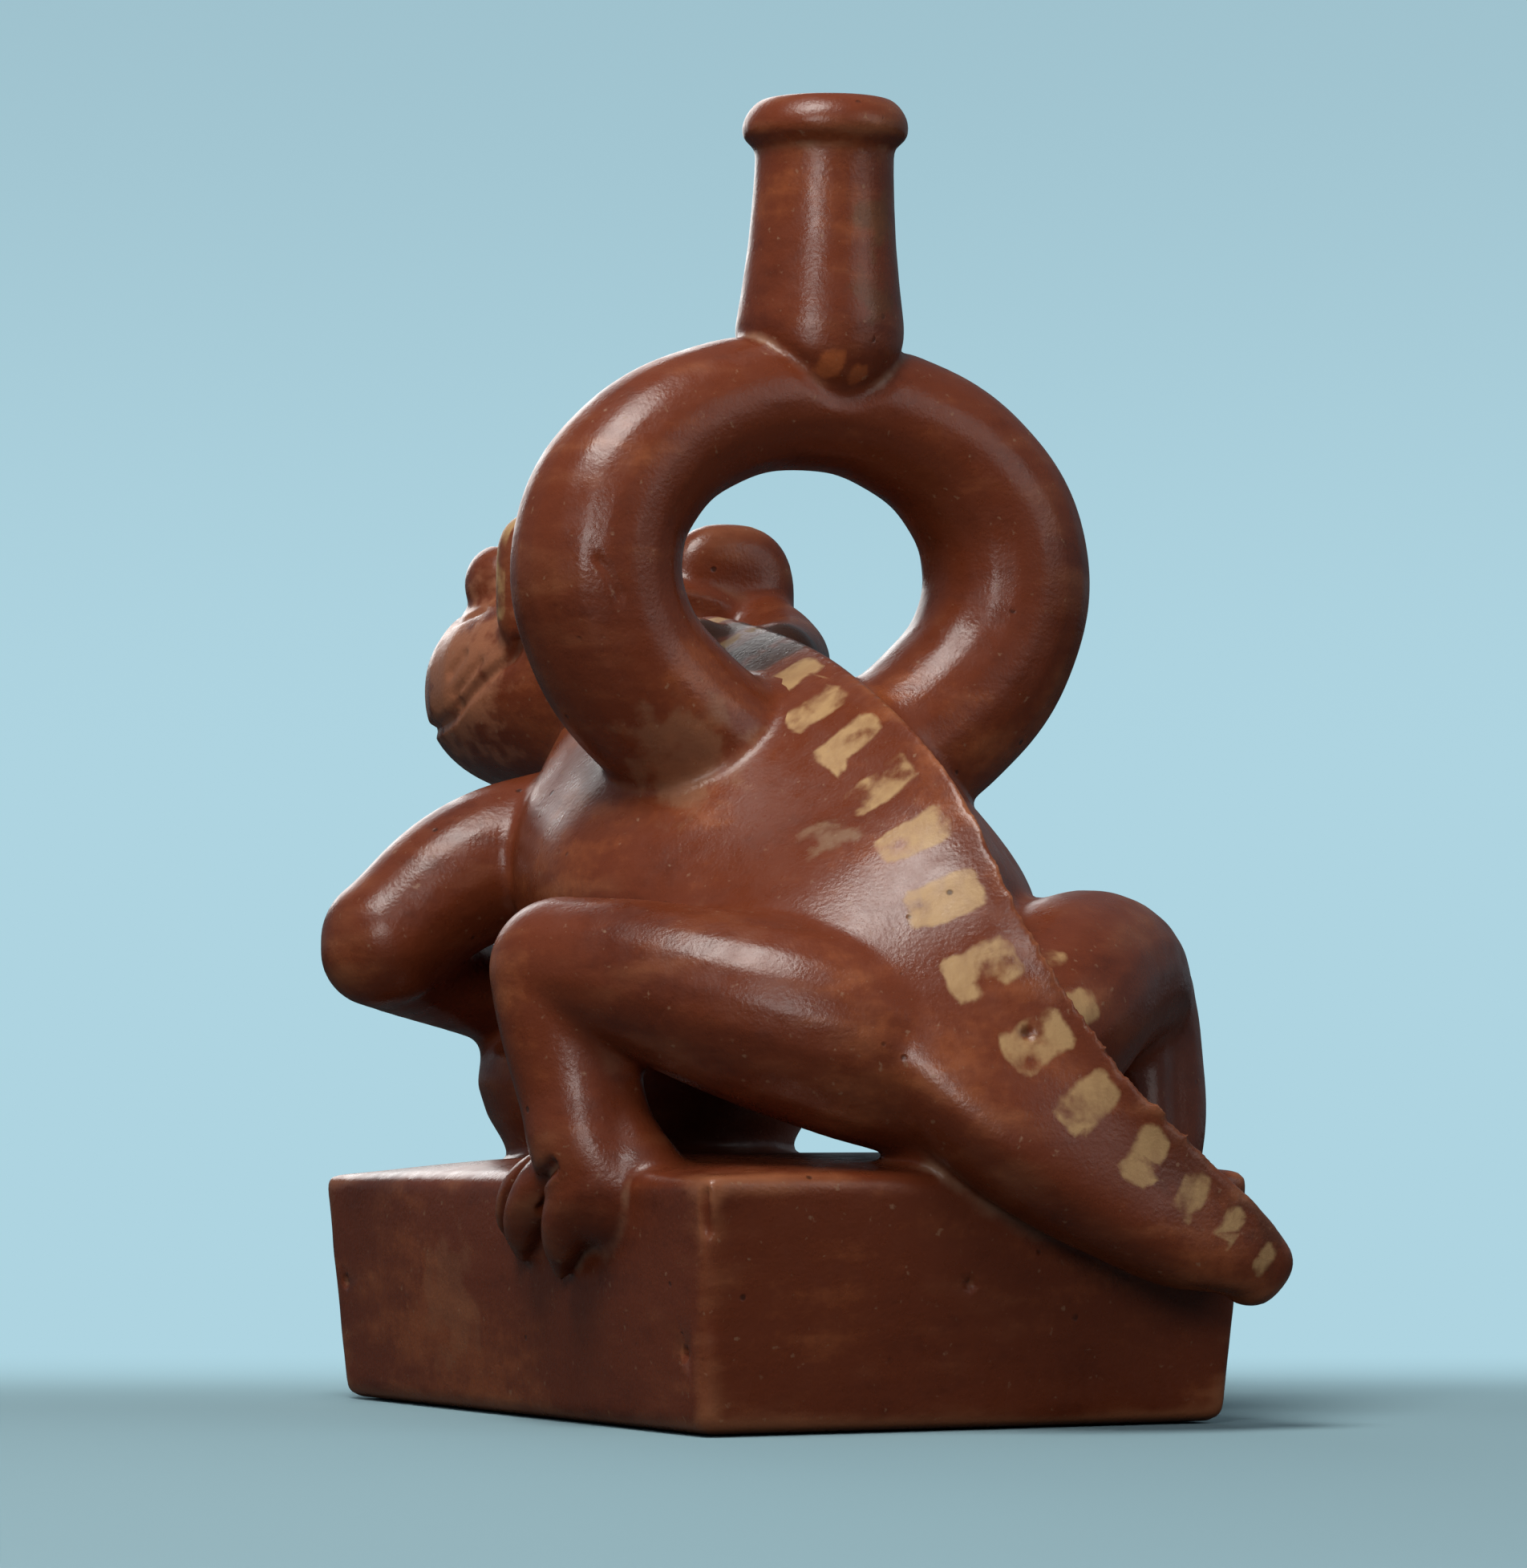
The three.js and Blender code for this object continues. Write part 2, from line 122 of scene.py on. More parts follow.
def apply_modifier(piece: bpy.types.Object, kind: str, **settings: object) -> None:
    """Add a modifier with the given settings and apply it.

    Args:
        piece: The object that is changed.
        kind: The modifier's type.
        **settings: Its properties.
    """
    activate(piece)
    modifier = piece.modifiers.new(kind, kind)
    for key, value in settings.items():
        setattr(modifier, key, value)
    bpy.ops.object.modifier_apply(modifier=modifier.name)


def remesh(piece: bpy.types.Object, voxel: float) -> None:
    """Fuse overlapping forms into one even skin of the given cell size in millimetres."""
    apply_modifier(piece, "REMESH", mode="VOXEL", voxel_size=voxel * MM, adaptivity=0.0)


def subtract(piece: bpy.types.Object, tool: bpy.types.Object) -> None:
    """Cut a tool object out of a piece, and remove the tool."""
    apply_modifier(piece, "BOOLEAN", operation="DIFFERENCE", solver="MANIFOLD", object=tool)
    bpy.data.objects.remove(tool)


def points_of(piece: bpy.types.Object) -> np.ndarray:
    """Return the vertices of a mesh object in millimetres, one row each."""
    flat = np.empty(len(piece.data.vertices) * 3, np.float32)
    piece.data.vertices.foreach_get("co", flat)
    return flat.reshape(-1, 3).astype(float) / MM


def move_points(piece: bpy.types.Object, points: np.ndarray) -> None:
    """Set the vertices of a mesh object from rows in millimetres."""
    piece.data.vertices.foreach_set("co", (points * MM).astype(np.float32).ravel())
    piece.data.update()


def normals_of(piece: bpy.types.Object) -> np.ndarray:
    """Return the directions in which a mesh's vertices face, one row each."""
    flat = np.empty(len(piece.data.vertices) * 3, np.float32)
    piece.data.vertex_normals.foreach_get("vector", flat)
    return flat.reshape(-1, 3).astype(float)


def store(piece: bpy.types.Object, name: str, values: np.ndarray) -> None:
    """Keep one number for each vertex on the mesh under a name."""
    attribute = piece.data.attributes.new(name, "FLOAT", "POINT")
    attribute.data.foreach_set("value", values.astype(np.float32))


def edges_of(piece: bpy.types.Object) -> np.ndarray:
    """Return the vertex pairs of a mesh's edges, one row each."""
    flat = np.empty(len(piece.data.edges) * 2, np.int32)
    piece.data.edges.foreach_get("vertices", flat)
    return flat.reshape(-1, 2)


def relaxed(
    values: np.ndarray, edges: np.ndarray, rounds: int, share: np.ndarray | float = 0.5
) -> np.ndarray:
    """Even out values over a mesh by averaging each vertex with its neighbours.

    Args:
        values: One row for each vertex.
        edges: The vertex pairs of the mesh's edges.
        rounds: How often the averaging is repeated.
        share: How far each vertex moves towards its neighbours' mean each time.

    Returns:
        The evened values, in the same layout.
    """
    values = values.astype(float).copy()
    count = len(values)
    degree = np.bincount(edges.ravel(), minlength=count).clip(1)
    rate = np.broadcast_to(share, count)
    columns = values.reshape(count, -1)
    for _ in range(rounds):
        for axis in range(columns.shape[1]):
            column = columns[:, axis]
            total = np.bincount(edges[:, 0], column[edges[:, 1]], count)
            total += np.bincount(edges[:, 1], column[edges[:, 0]], count)
            columns[:, axis] = column + rate * (total / degree - column)
    return columns.reshape(values.shape)


def hollowness(piece: bpy.types.Object, rounds: int) -> np.ndarray:
    """Return how deep each vertex lies in a hollow, in millimetres: on an edge it is negative."""
    points = points_of(piece)
    away = relaxed(points, edges_of(piece), rounds) - points
    return np.sum(away * normals_of(piece), axis=1)


def lengths_along(path: np.ndarray) -> np.ndarray:
    """Return how far along a polyline each of its corners lies."""
    steps = np.linalg.norm(np.diff(path, axis=0), axis=1)
    return np.concatenate([[0], np.cumsum(steps)])


def distance_to_path(points: np.ndarray, path: np.ndarray) -> tuple[np.ndarray, np.ndarray]:
    """Find how far points lie from a polyline, and where along it.

    Args:
        points: Rows of positions.
        path: The polyline's corners, one row each.

    Returns:
        The distance of each point, and the length along the path of its nearest place.
    """
    nearest = np.full(len(points), 1e9)
    along = np.zeros(len(points))
    travelled = 0.0
    for start, end in zip(path[:-1], path[1:]):
        step = end - start
        length = float(np.linalg.norm(step))
        share = np.clip((points - start) @ step / length**2, 0, 1)
        gap = np.linalg.norm(points - start - share[:, None] * step, axis=1)
        closer = gap < nearest
        nearest[closer] = gap[closer]
        along[closer] = travelled + share[closer] * length
        travelled += length
    return nearest, along


def carried(keys: np.ndarray, count: int) -> np.ndarray:
    """Carry a smooth curve through key rows.

    Args:
        keys: One row of numbers for each key.
        count: How many rows the result has.

    Returns:
        Evenly spaced rows on the curve, the first and last key included.
    """
    spans = len(keys) - 1
    place = np.linspace(0, spans, count)
    first = np.minimum(place.astype(int), spans - 1)
    f = (place - first)[:, None]
    a, b, c, d = (keys[np.clip(first + shift, 0, spans)] for shift in (-1, 0, 1, 2))
    return b + 0.5 * f * (c - a + f * (2 * a - 5 * b + 4 * c - d + f * (3 * (b - c) + d - a)))


def incise(piece: bpy.types.Object, line: list[Point], width: float, depth: float) -> None:
    """Press a soft groove into the clay along a line that is first laid onto the surface.

    Args:
        piece: The clay.
        line: Points near the surface, in millimetres. A single point presses a pit.
        width: Half the groove's width, in millimetres.
        depth: How deep it is, in millimetres.
    """
    steps_per_corner, dot_length, least_step = 8, 0.1, 1e-3
    corners = line if len(line) > 1 else [line[0], tuple(c + dot_length for c in line[0])]
    smooth = carried(np.array(corners, float), 1 + steps_per_corner * (len(corners) - 1))
    path = np.array([piece.closest_point_on_mesh(metres(tuple(at)))[1] for at in smooth]) / MM
    path += np.linspace(0, least_step, len(path))[:, None]
    points = points_of(piece)
    near = np.all((points > path.min(0) - width) & (points < path.max(0) + width), axis=1)
    gap, _ = distance_to_path(points[near], path)
    press = depth * np.clip(1 - (gap / width) ** 2, 0, 1) ** 2
    points[near] -= normals_of(piece)[near] * press[:, None]
    move_points(piece, points)


def rounded_box(across: np.ndarray, over: np.ndarray, corner: float) -> np.ndarray:
    """Find the distance to a rounded rectangle.

    Args:
        across: How far each place lies past the two sides.
        over: How far it lies past the two ends.
        corner: The corner's radius.

    Returns:
        The distances, which are negative inside.
    """
    across, over = across + corner, over + corner
    outside = np.hypot(np.maximum(across, 0), np.maximum(over, 0))
    return outside + np.minimum(np.maximum(across, over), 0) - corner


def rolled_tube(name: str, path: Path, domed: tuple[bool, bool] = (True, True)) -> bpy.types.Object:
    """Model a coil of clay along a bent path, as thick at each key as its radius says.

    Args:
        name: The object's name.
        path: Keys of a point and a radius, in millimetres.
        domed: Whether the start and the end are rounded off.

    Returns:
        A closed mesh.
    """
    deselect()
    bpy.ops.curve.primitive_bezier_curve_add()
    curve = named(name)
    spline = curve.data.splines[0]
    spline.bezier_points.add(len(path) - 2)
    spline.radius_interpolation = "CARDINAL"
    spline.resolution_u = 10
    for key, (at, radius) in zip(spline.bezier_points, path):
        key.co = metres(at)
        key.radius = radius * MM
        key.handle_left_type = "AUTO"
        key.handle_right_type = "AUTO"
    curve.data.bevel_depth = 1.0
    curve.data.bevel_resolution = 8
    curve.data.use_fill_caps = True
    bpy.ops.object.convert(target="MESH")
    parts = [bpy.context.object]
    ends = [end for end, wanted in zip((path[0], path[-1]), domed) if wanted]
    for at, radius in ends:
        parts.append(clay_ball(name + "_end", at, (radius, radius, radius)))
    return join(parts, name)


def clay_ball(name: str, at: Point, size: Point, turn: Point = (0, 0, 0)) -> bpy.types.Object:
    """Model an oval lump of clay.

    Args:
        name: The object's name.
        at: Its middle, in millimetres.
        size: Its half sizes, in millimetres.
        turn: Its turn about the three axes, in radians.

    Returns:
        A closed mesh.
    """
    deselect()
    bpy.ops.mesh.primitive_uv_sphere_add(
        segments=40, ring_count=24, radius=1, location=metres(at), rotation=turn, scale=metres(size)
    )
    bpy.ops.object.transform_apply(location=True, rotation=True, scale=True)
    return named(name)


def stacked(name: str, axis: Point, rings: list[Ring], square: float = 2.0) -> bpy.types.Object:
    """Model a form by extruding a round outline along an axis and resizing it at each level.

    Args:
        name: The object's name.
        axis: The way the outline is pushed out: the Y or the Z axis.
        rings: Levels of a centre, a half width and a half height, in millimetres.
        square: The outline's power: 2 is an oval, more is squarer.

    Returns:
        A closed mesh.
    """
    upright = abs(axis[2]) > 0.5
    turn = (0, 0, 0) if upright else (math.pi / 2, 0, 0)
    deselect()
    bpy.ops.mesh.primitive_circle_add(
        vertices=48, radius=1, fill_type="NGON", location=metres(rings[0][0]), rotation=turn
    )
    piece = named(name)
    bpy.ops.object.transform_apply(location=False, rotation=True, scale=True)
    for vertex in piece.data.vertices:
        flat = [math.copysign(abs(c) ** (2 / square), c) if abs(c) > 1e-6 else 0.0 for c in vertex.co]
        vertex.co = flat
    bpy.ops.object.transform_apply(location=True)
    bpy.ops.object.mode_set(mode="EDIT")
    bpy.ops.mesh.select_all(action="SELECT")

    def sized(centre: Point, across: float, over: float) -> None:
        """Resize the selected outline about its centre."""
        value = (across, over, 1) if upright else (across, 1, over)
        bpy.ops.transform.resize(value=value, center_override=metres(centre))

    sized(rings[0][0], rings[0][1] * MM, rings[0][2] * MM)
    bpy.ops.mesh.duplicate()
    for before, after in zip(rings[:-1], rings[1:]):
        step = metres(after[0]) - metres(before[0])
        bpy.ops.mesh.extrude_region_move(TRANSFORM_OT_translate={"value": step})
        sized(after[0], after[1] / before[1], after[2] / before[2])
    bpy.ops.mesh.select_all(action="SELECT")
    bpy.ops.mesh.remove_doubles(threshold=1e-6)
    bpy.ops.mesh.normals_make_consistent(inside=False)
    bpy.ops.object.mode_set(mode="OBJECT")
    return piece


def mirror(piece: bpy.types.Object) -> None:
    """Turn a left-hand form into a right-hand one."""
    piece.data.transform(Matrix.Scale(-1, 4, (1, 0, 0)))
    piece.data.flip_normals()


def mirrored(piece: bpy.types.Object, name: str) -> bpy.types.Object:
    """Copy a left-hand form to the right-hand side, with its own mesh."""
    copy = piece.copy()
    copy.data = piece.data.copy()
    bpy.context.scene.collection.objects.link(copy)
    mirror(copy)
    copy.name = name
    return copy


# ---- the foot ------------------------------------------------------------------------------------
@dataclass
class Foot:
    """The hollow box that the animal crouches on, a little wider at the top than below."""

    half_x: float = 54.1
    half_y: float = 82.0
    middle_y: float = -1.0
    height: float = 44.6
    flare_x: float = 2.2
    flare_y: float = 5.5
    edge: float = 1.6
    belly: float = 1.2
    dome: float = 3.6
    dip: float = 2.8
    cell: float = 1.6
    top_power: int = 6
    side_power: int = 8

    def build(self) -> bpy.types.Object:
        """Model the box with its flared sides and softened edges.

        Returns:
            A closed mesh.
        """
        deselect()
        bpy.ops.mesh.primitive_cube_add(
            size=2, location=metres((0, self.middle_y, self.height / 2)),
            scale=metres((self.half_x, self.half_y, self.height / 2)),
        )
        bpy.ops.object.transform_apply(location=True, rotation=True, scale=True)
        piece = named("foot")
        self._taper(piece)
        self._soften(piece)
        remesh(piece, self.cell)
        self._swell(piece)
        return piece

    def _taper(self, piece: bpy.types.Object) -> None:
        """Draw the underside in, so that the sides flare upwards."""
        edit_faces(piece, [face.index for face in piece.data.polygons if face.normal.z < -0.9])
        value = (1 - self.flare_x / self.half_x, 1 - self.flare_y / self.half_y, 1)
        bpy.ops.transform.resize(value=value, center_override=(0, 0, 0))
        bpy.ops.object.mode_set(mode="OBJECT")

    def _soften(self, piece: bpy.types.Object) -> None:
        """Round all the edges a little."""
        bpy.ops.object.mode_set(mode="EDIT")
        bpy.ops.mesh.select_all(action="SELECT")
        bpy.ops.mesh.bevel(offset=self.edge * MM, segments=4, profile=0.5, affect="EDGES")
        bpy.ops.object.mode_set(mode="OBJECT")

    def _swell(self, piece: bpy.types.Object) -> None:
        """Let the top and the sides stand out slightly towards their middles."""
        points = points_of(piece)
        x = np.clip(points[:, 0] / self.half_x, -1, 1)
        y = np.clip((points[:, 1] - self.middle_y) / self.half_y, -1, 1)
        z = np.clip(points[:, 2] / self.height, 0, 1)
        points[:, 2] += z**self.top_power * (self.dome * (1 - x**4) * (1 - y**4) - self.dip * (1 - y) / 2)
        wall = np.sin(np.pi * z) * self.belly
        points[:, 0] += np.sign(x) * np.abs(x) ** self.side_power * wall * (1 - y**2)
        points[:, 1] += np.sign(y) * np.abs(y) ** self.side_power * wall * (1 - x**2)
        move_points(piece, points)


# ---- the animal ----------------------------------------------------------------------------------
@dataclass(frozen=True)
class Station:
    """One level of the keeled back: a point of the ridge and the body round it, in millimetres."""

    at: Point
    up: Point
    shift: float
    width: float
    drop: float
    under: float
    keel: float


@dataclass
class KeeledBack:
    """The body and tail: a sharp ridge, flanks that swell out below it, and a round belly."""

    stations: tuple[Station, ...] = (
        Station((0, -66, 132), (0, -0.10, 1), 0, 19, 18, 18, 0.10),
        Station((0, -48, 144), (0, -0.12, 1), 0, 27, 34, 34, 0.20),
        Station((0, -28, 147), (0, 0, 1), 0.5, 37.5, 44, 40, 0.35),
        Station((0, -6, 144), (0, 0.08, 1), 1, 42.5, 46, 38, 0.42),
        Station((0, 16, 138.8), (0, 0.18, 1), 2.5, 44.5, 45, 35, 0.48),
        Station((0, 36, 131.5), (0, 0.26, 1), 2, 43, 44, 31, 0.60),
        Station((0, 55, 122.5), (0, 0.38, 1), 2, 38.5, 42, 27, 0.70),
        Station((-0.5, 74, 109.5), (-0.10, 0.62, 1), 2, 31, 36, 24, 0.75),
        Station((-4.5, 90, 87), (-0.34, 0.90, 0.62), 2, 22.5, 27, 19, 0.80),
        Station((-17.5, 98, 64), (-0.60, 0.78, 0.46), 2, 16.5, 20, 15, 0.80),
        Station((-33.5, 99, 48.8), (-0.66, 0.72, 0.50), -0.3, 15.0, 16, 12, 0.75),
        Station((-46, 98, 38.2), (-0.62, 0.74, 0.58), -1.2, 12.6, 12.5, 9.5, 0.60),
        Station((-53, 96, 31), (-0.55, 0.76, 0.64), -1.3, 8.8, 8.5, 6.5, 0.35),
    )
    sides: int = 72
    levels: int = 120
    first: int = 0
    last: int = 13
    inset: float = 0.0
    tip_rings: tuple[float, ...] = (0.35, 0.7, 0.92)
    tip_reach: float = 0.75
    crest_share: float = 0.4

    def _levels(self) -> np.ndarray:
        """Return the stations carried smoothly along the body, one row of numbers each."""
        rows = [
            [*s.at, *s.up, s.shift, s.width, s.drop, s.under, s.keel]
            for s in self.stations[self.first:self.last]
        ]
        return carried(np.array(rows, float), self.levels)

    def ridge(self) -> np.ndarray:
        """Return the line of the ridge from the nape to the tip of the tail, in millimetres."""
        return self._levels()[:, :3]

    def _frame(self, rows: np.ndarray) -> tuple[np.ndarray, np.ndarray, np.ndarray]:
        """Find the directions that each level is drawn in.

        Args:
            rows: The levels, as _levels gives them.

        Returns:
            Unit vectors along the body, up to the ridge, and to the animal's left.
        """
        along = np.gradient(rows[:, :3], axis=0)
        along /= np.linalg.norm(along, axis=1)[:, None]
        up = rows[:, 3:6] - along * np.sum(rows[:, 3:6] * along, axis=1)[:, None]
        up /= np.linalg.norm(up, axis=1)[:, None]
        return along, up, np.cross(along, up)

    def build(self) -> bpy.types.Object:
        """Shape the keeled body ring by ring, which no operator gives.

        Returns:
            A closed mesh.
        """
        rows = self._levels()
        along, up, left = self._frame(rows)
        shift, width, drop, under, keel = (rows[:, i : i + 1] for i in range(6, 11))
        angle = np.linspace(-math.pi, math.pi, self.sides, endpoint=False)[None, :]
        above = np.abs(angle) < math.pi / 2
        swell = np.abs(np.sin(angle))
        sharp = np.where(above, keel, 0)
        across = (width - self.inset) * ((1 - sharp) * swell + sharp * swell**3)
        crest = self.crest_share * sharp
        over = (drop - self.inset) * ((1 - crest) * np.cos(angle) + crest * (1 - swell))
        below = (under - self.inset) * np.cos(angle)
        rise = np.where(above, over, below)
        lean = np.where(above, -shift * np.cos(angle) ** 2, 0)
        centre = rows[:, :3] - drop * up + shift * left
        sideways = (np.sign(angle) * across + lean)[:, :, None]
        skin = centre[:, None, :] + left[:, None, :] * sideways + up[:, None, :] * rise[:, :, None]
        middle = skin[-1].mean(axis=0)
        caps = []
        tip = along[-1] * (width[-1, 0] - self.inset) * self.tip_reach
        for share in self.tip_rings:
            ring = middle + (skin[-1] - middle) * math.sqrt(1 - share**2)
            caps.append(ring + tip * share)
        rings = np.concatenate([skin, np.array(caps)])
        ends = [skin[0].mean(axis=0), middle + tip]
        return self._skinned(rings, ends)

    def _skinned(self, rings: np.ndarray, ends: list[np.ndarray]) -> bpy.types.Object:
        """Join rings of points into a closed mesh.

        Args:
            rings: Rings of equal count, in millimetres.
            ends: The points that close the first and the last ring.

        Returns:
            The new object.
        """
        count, sides = rings.shape[:2]
        faces = []
        for level in range(count - 1):
            for side in range(sides):
                a, b = level * sides + side, level * sides + (side + 1) % sides
                faces.append((a, b, b + sides, a + sides))
        start, end = count * sides, count * sides + 1
        last = (count - 1) * sides
        for side in range(sides):
            after = (side + 1) % sides
            faces.append((start, after, side))
            faces.append((end, last + side, last + after))
        points = np.concatenate([rings.reshape(-1, 3), np.array(ends)]) * MM
        mesh = bpy.data.meshes.new("body")
        mesh.from_pydata(points.tolist(), [], faces)
        piece = bpy.data.objects.new("body", mesh)
        bpy.context.scene.collection.objects.link(piece)
        activate(piece)
        bpy.ops.object.mode_set(mode="EDIT")
        bpy.ops.mesh.select_all(action="SELECT")
        bpy.ops.mesh.normals_make_consistent(inside=False)
        bpy.ops.object.mode_set(mode="OBJECT")
        return piece

    def painted_place(self, points: np.ndarray) -> tuple[np.ndarray, np.ndarray]:
        """Find where points lie on the ridge's own map of the back.

        Args:
            points: Rows of positions in millimetres.

        Returns:
            The length along the ridge, and the distance out from it over the flank.
        """
        rows = self._levels()
        _, up, left = self._frame(rows)
        line = rows[:, :3]
        _, along = distance_to_path(points, line)
        level = np.clip(np.searchsorted(lengths_along(line), along), 0, len(line) - 1)
        offset = points - line[level]
        out = np.sum(offset * left[level], axis=1)
        down = -np.sum(offset * up[level], axis=1)
        return along, np.hypot(out, np.maximum(down, 0))


@dataclass(frozen=True)
class Patch:
    """A painted patch: its middle along the ridge, its breadth, and its two ends out from the ridge."""

    middle: float
    breadth: float
    near: float
    far: float


@dataclass
class SpinePaint:
    """The cream patches down both sides of the ridge, and the dark bars at the neck."""

    start: Point = (0, -31, 147)
    patches: tuple[Patch, ...] = (
        Patch(11.5, 5.5, 0, 15), Patch(26.2, 3.0, 0, 15), Patch(53.5, 7.0, 2, 14.5),
        Patch(66.5, 7.4, 3, 15.5), Patch(80.5, 8.0, 3.5, 16.5), Patch(96.5, 8.4, 4, 17.5),
        Patch(113.5, 8.6, 4.5, 18), Patch(129.5, 8.4, 4.5, 18), Patch(143.5, 7.6, 4.5, 18),
        Patch(158, 7.6, 4, 16.5), Patch(170.5, 6.2, 3.5, 15.5), Patch(183, 6.0, 3, 14.5),
        Patch(194.5, 5.0, 3, 13), Patch(204, 4.2, 3, 11), Patch(214, 3.6, 3, 9.5),
        Patch(219.5, 2.0, 2.5, 7.5),
    )
    bars: tuple[Patch, ...] = (Patch(20.8, 6.0, 0, 19), Patch(34, 7.0, 0, 19), Patch(43, 6.5, 0, 17))
    corner: float = 1.8
    beyond: float = 20.0

    def mark(self, piece: bpy.types.Object, back: KeeledBack, bare: np.ndarray) -> None:
        """Store how far each vertex lies from the nearest patch and the nearest bar.

        Args:
            piece: The clay.
            back: The form that carries the ridge.
            bare: Whether each vertex belongs to a form that isn't painted.
        """
        along, out = back.painted_place(points_of(piece))
        along -= distance_to_path(np.array([self.start], float), back.ridge())[1][0]
        for name, shapes in (("cream", self.patches), ("dark", self.bars)):
            gap = np.full(len(along), self.beyond)
            for shape in shapes:
                past_sides = np.abs(along - shape.middle) - shape.breadth / 2
                past_ends = np.maximum(shape.near - out, out - shape.far)
                gap = np.minimum(gap, rounded_box(past_sides, past_ends, self.corner))
            store(piece, name, np.where(bare, self.beyond, gap))


@dataclass
class Head:
    """The blunt head with two upright lobes at the nape, bulging eyes and a long mouth."""

    rings: tuple[Ring, ...] = (
        ((0, -42, 136), 22, 17),
        ((0, -49, 136), 26.2, 19.6),
        ((0, -57, 136), 29.5, 21.5),
        ((0, -65, 135.8), 32.2, 22.2),
        ((0, -73, 135.5), 33.5, 22),
        ((0, -81, 135), 32.9, 21.4),
        ((0, -88, 134.5), 30.5, 20.2),
        ((0, -95, 134), 26.9, 18.2),
        ((0, -101, 133.5), 22.4, 15.6),
        ((0, -106, 133.2), 17, 12.2),
        ((0, -109.5, 133), 11, 8),
        ((0, -111.5, 133), 4, 3),
    )
    square: float = 2.2
    lobes: tuple[tuple[Side, Point, float], ...] = (
        (Side.LEFT, (17, -54, 153.5), 3.6), (Side.RIGHT, (-16, -50, 151.8), 2.5),
    )
    lobe_half: tuple[float, float] = (13.6, 14.4)
    folds: tuple[Path, ...] = (
        [((21, -49, 147), 7), ((19.5, -40, 142), 8), ((14, -28, 139), 9), ((8, -16, 138), 8)],
        [((-22, -47, 146), 7), ((-20.5, -39, 142.5), 8), ((-17, -29, 138.5), 9), ((-9, -16, 137.5), 8)],
    )
    lobe_layers: tuple[tuple[float, float], ...] = (
        (5.6, 0.45), (4.8, 0.76), (3.0, 0.94), (0.5, 1.0), (-2.5, 0.97), (-4.4, 0.84), (-5.2, 0.62),
    )
    cup: Point = (8.5, 3.6, 8.5)
    cup_rise: float = 2.0
    rim_from: float = 0.82
    rim_depth: tuple[float, float] = (-9.0, 3.0)
    rim_below: float = 9.0
    eye_at: Point = (20, -76, 155)
    eye_size: Point = (6.6, 8.2, 7.6)

    def build(self) -> list[bpy.types.Object]:
        """Model the skull, the lobes and the eyes.

        Returns:
            Closed meshes that overlap one another.
        """
        parts = [stacked("skull", (0, -1, 0), list(self.rings), self.square)]
        for (side, at, square), fold in zip(self.lobes, self.folds):
            parts.append(self._lobe(at, square))
            parts.append(rolled_tube("fold", fold))
            x, y, z = self.eye_at
            parts.append(clay_ball("eye", (side.value * x, y, z), self.eye_size))
        return parts

    def rim(self, points: np.ndarray) -> np.ndarray:
        """Return how near points lie to the painted outer rims of the lobes, from 0 to 1."""
        found = np.zeros(len(points))
        for side, (middle_x, middle_y, middle_z), square in self.lobes:
            x = (points[:, 0] - middle_x) / self.lobe_half[0]
            z = (points[:, 2] - middle_z) / self.lobe_half[1]
            behind = points[:, 1] - middle_y
            reach = (np.abs(x) ** square + np.abs(z) ** square) ** (1 / square)
            edge = np.clip((reach - self.rim_from) * 9, 0, 1)
            outer = np.clip((x * side.value + 0.1) * 3, 0, 1)
            front, back = self.rim_depth
            depth = np.clip((back - behind) / 2, 0, 1) * np.clip((behind - front) / 2, 0, 1)
            above = np.clip((points[:, 2] - middle_z + self.rim_below) / 4, 0, 1)
            found = np.maximum(found, edge * outer * depth * above)
        return found

    def _lobe(self, at: Point, square: float) -> bpy.types.Object:
        """Model one upright lobe: a thick flap, cupped in front.

        Args:
            at: Its middle, in millimetres.
            square: The power of its outline: 2 is an oval, more is squarer.

        Returns:
            A closed mesh.
        """
        x, y, z = at
        across, over = self.lobe_half
        lobe = stacked("lobe", (0, -1, 0), [
            ((x, y + back, z), across * share, over * share) for back, share in self.lobe_layers
        ], square)
        front = y + self.lobe_layers[-1][0]
        subtract(lobe, clay_ball("cup", (x, front, z + self.cup_rise), self.cup))
        return lobe


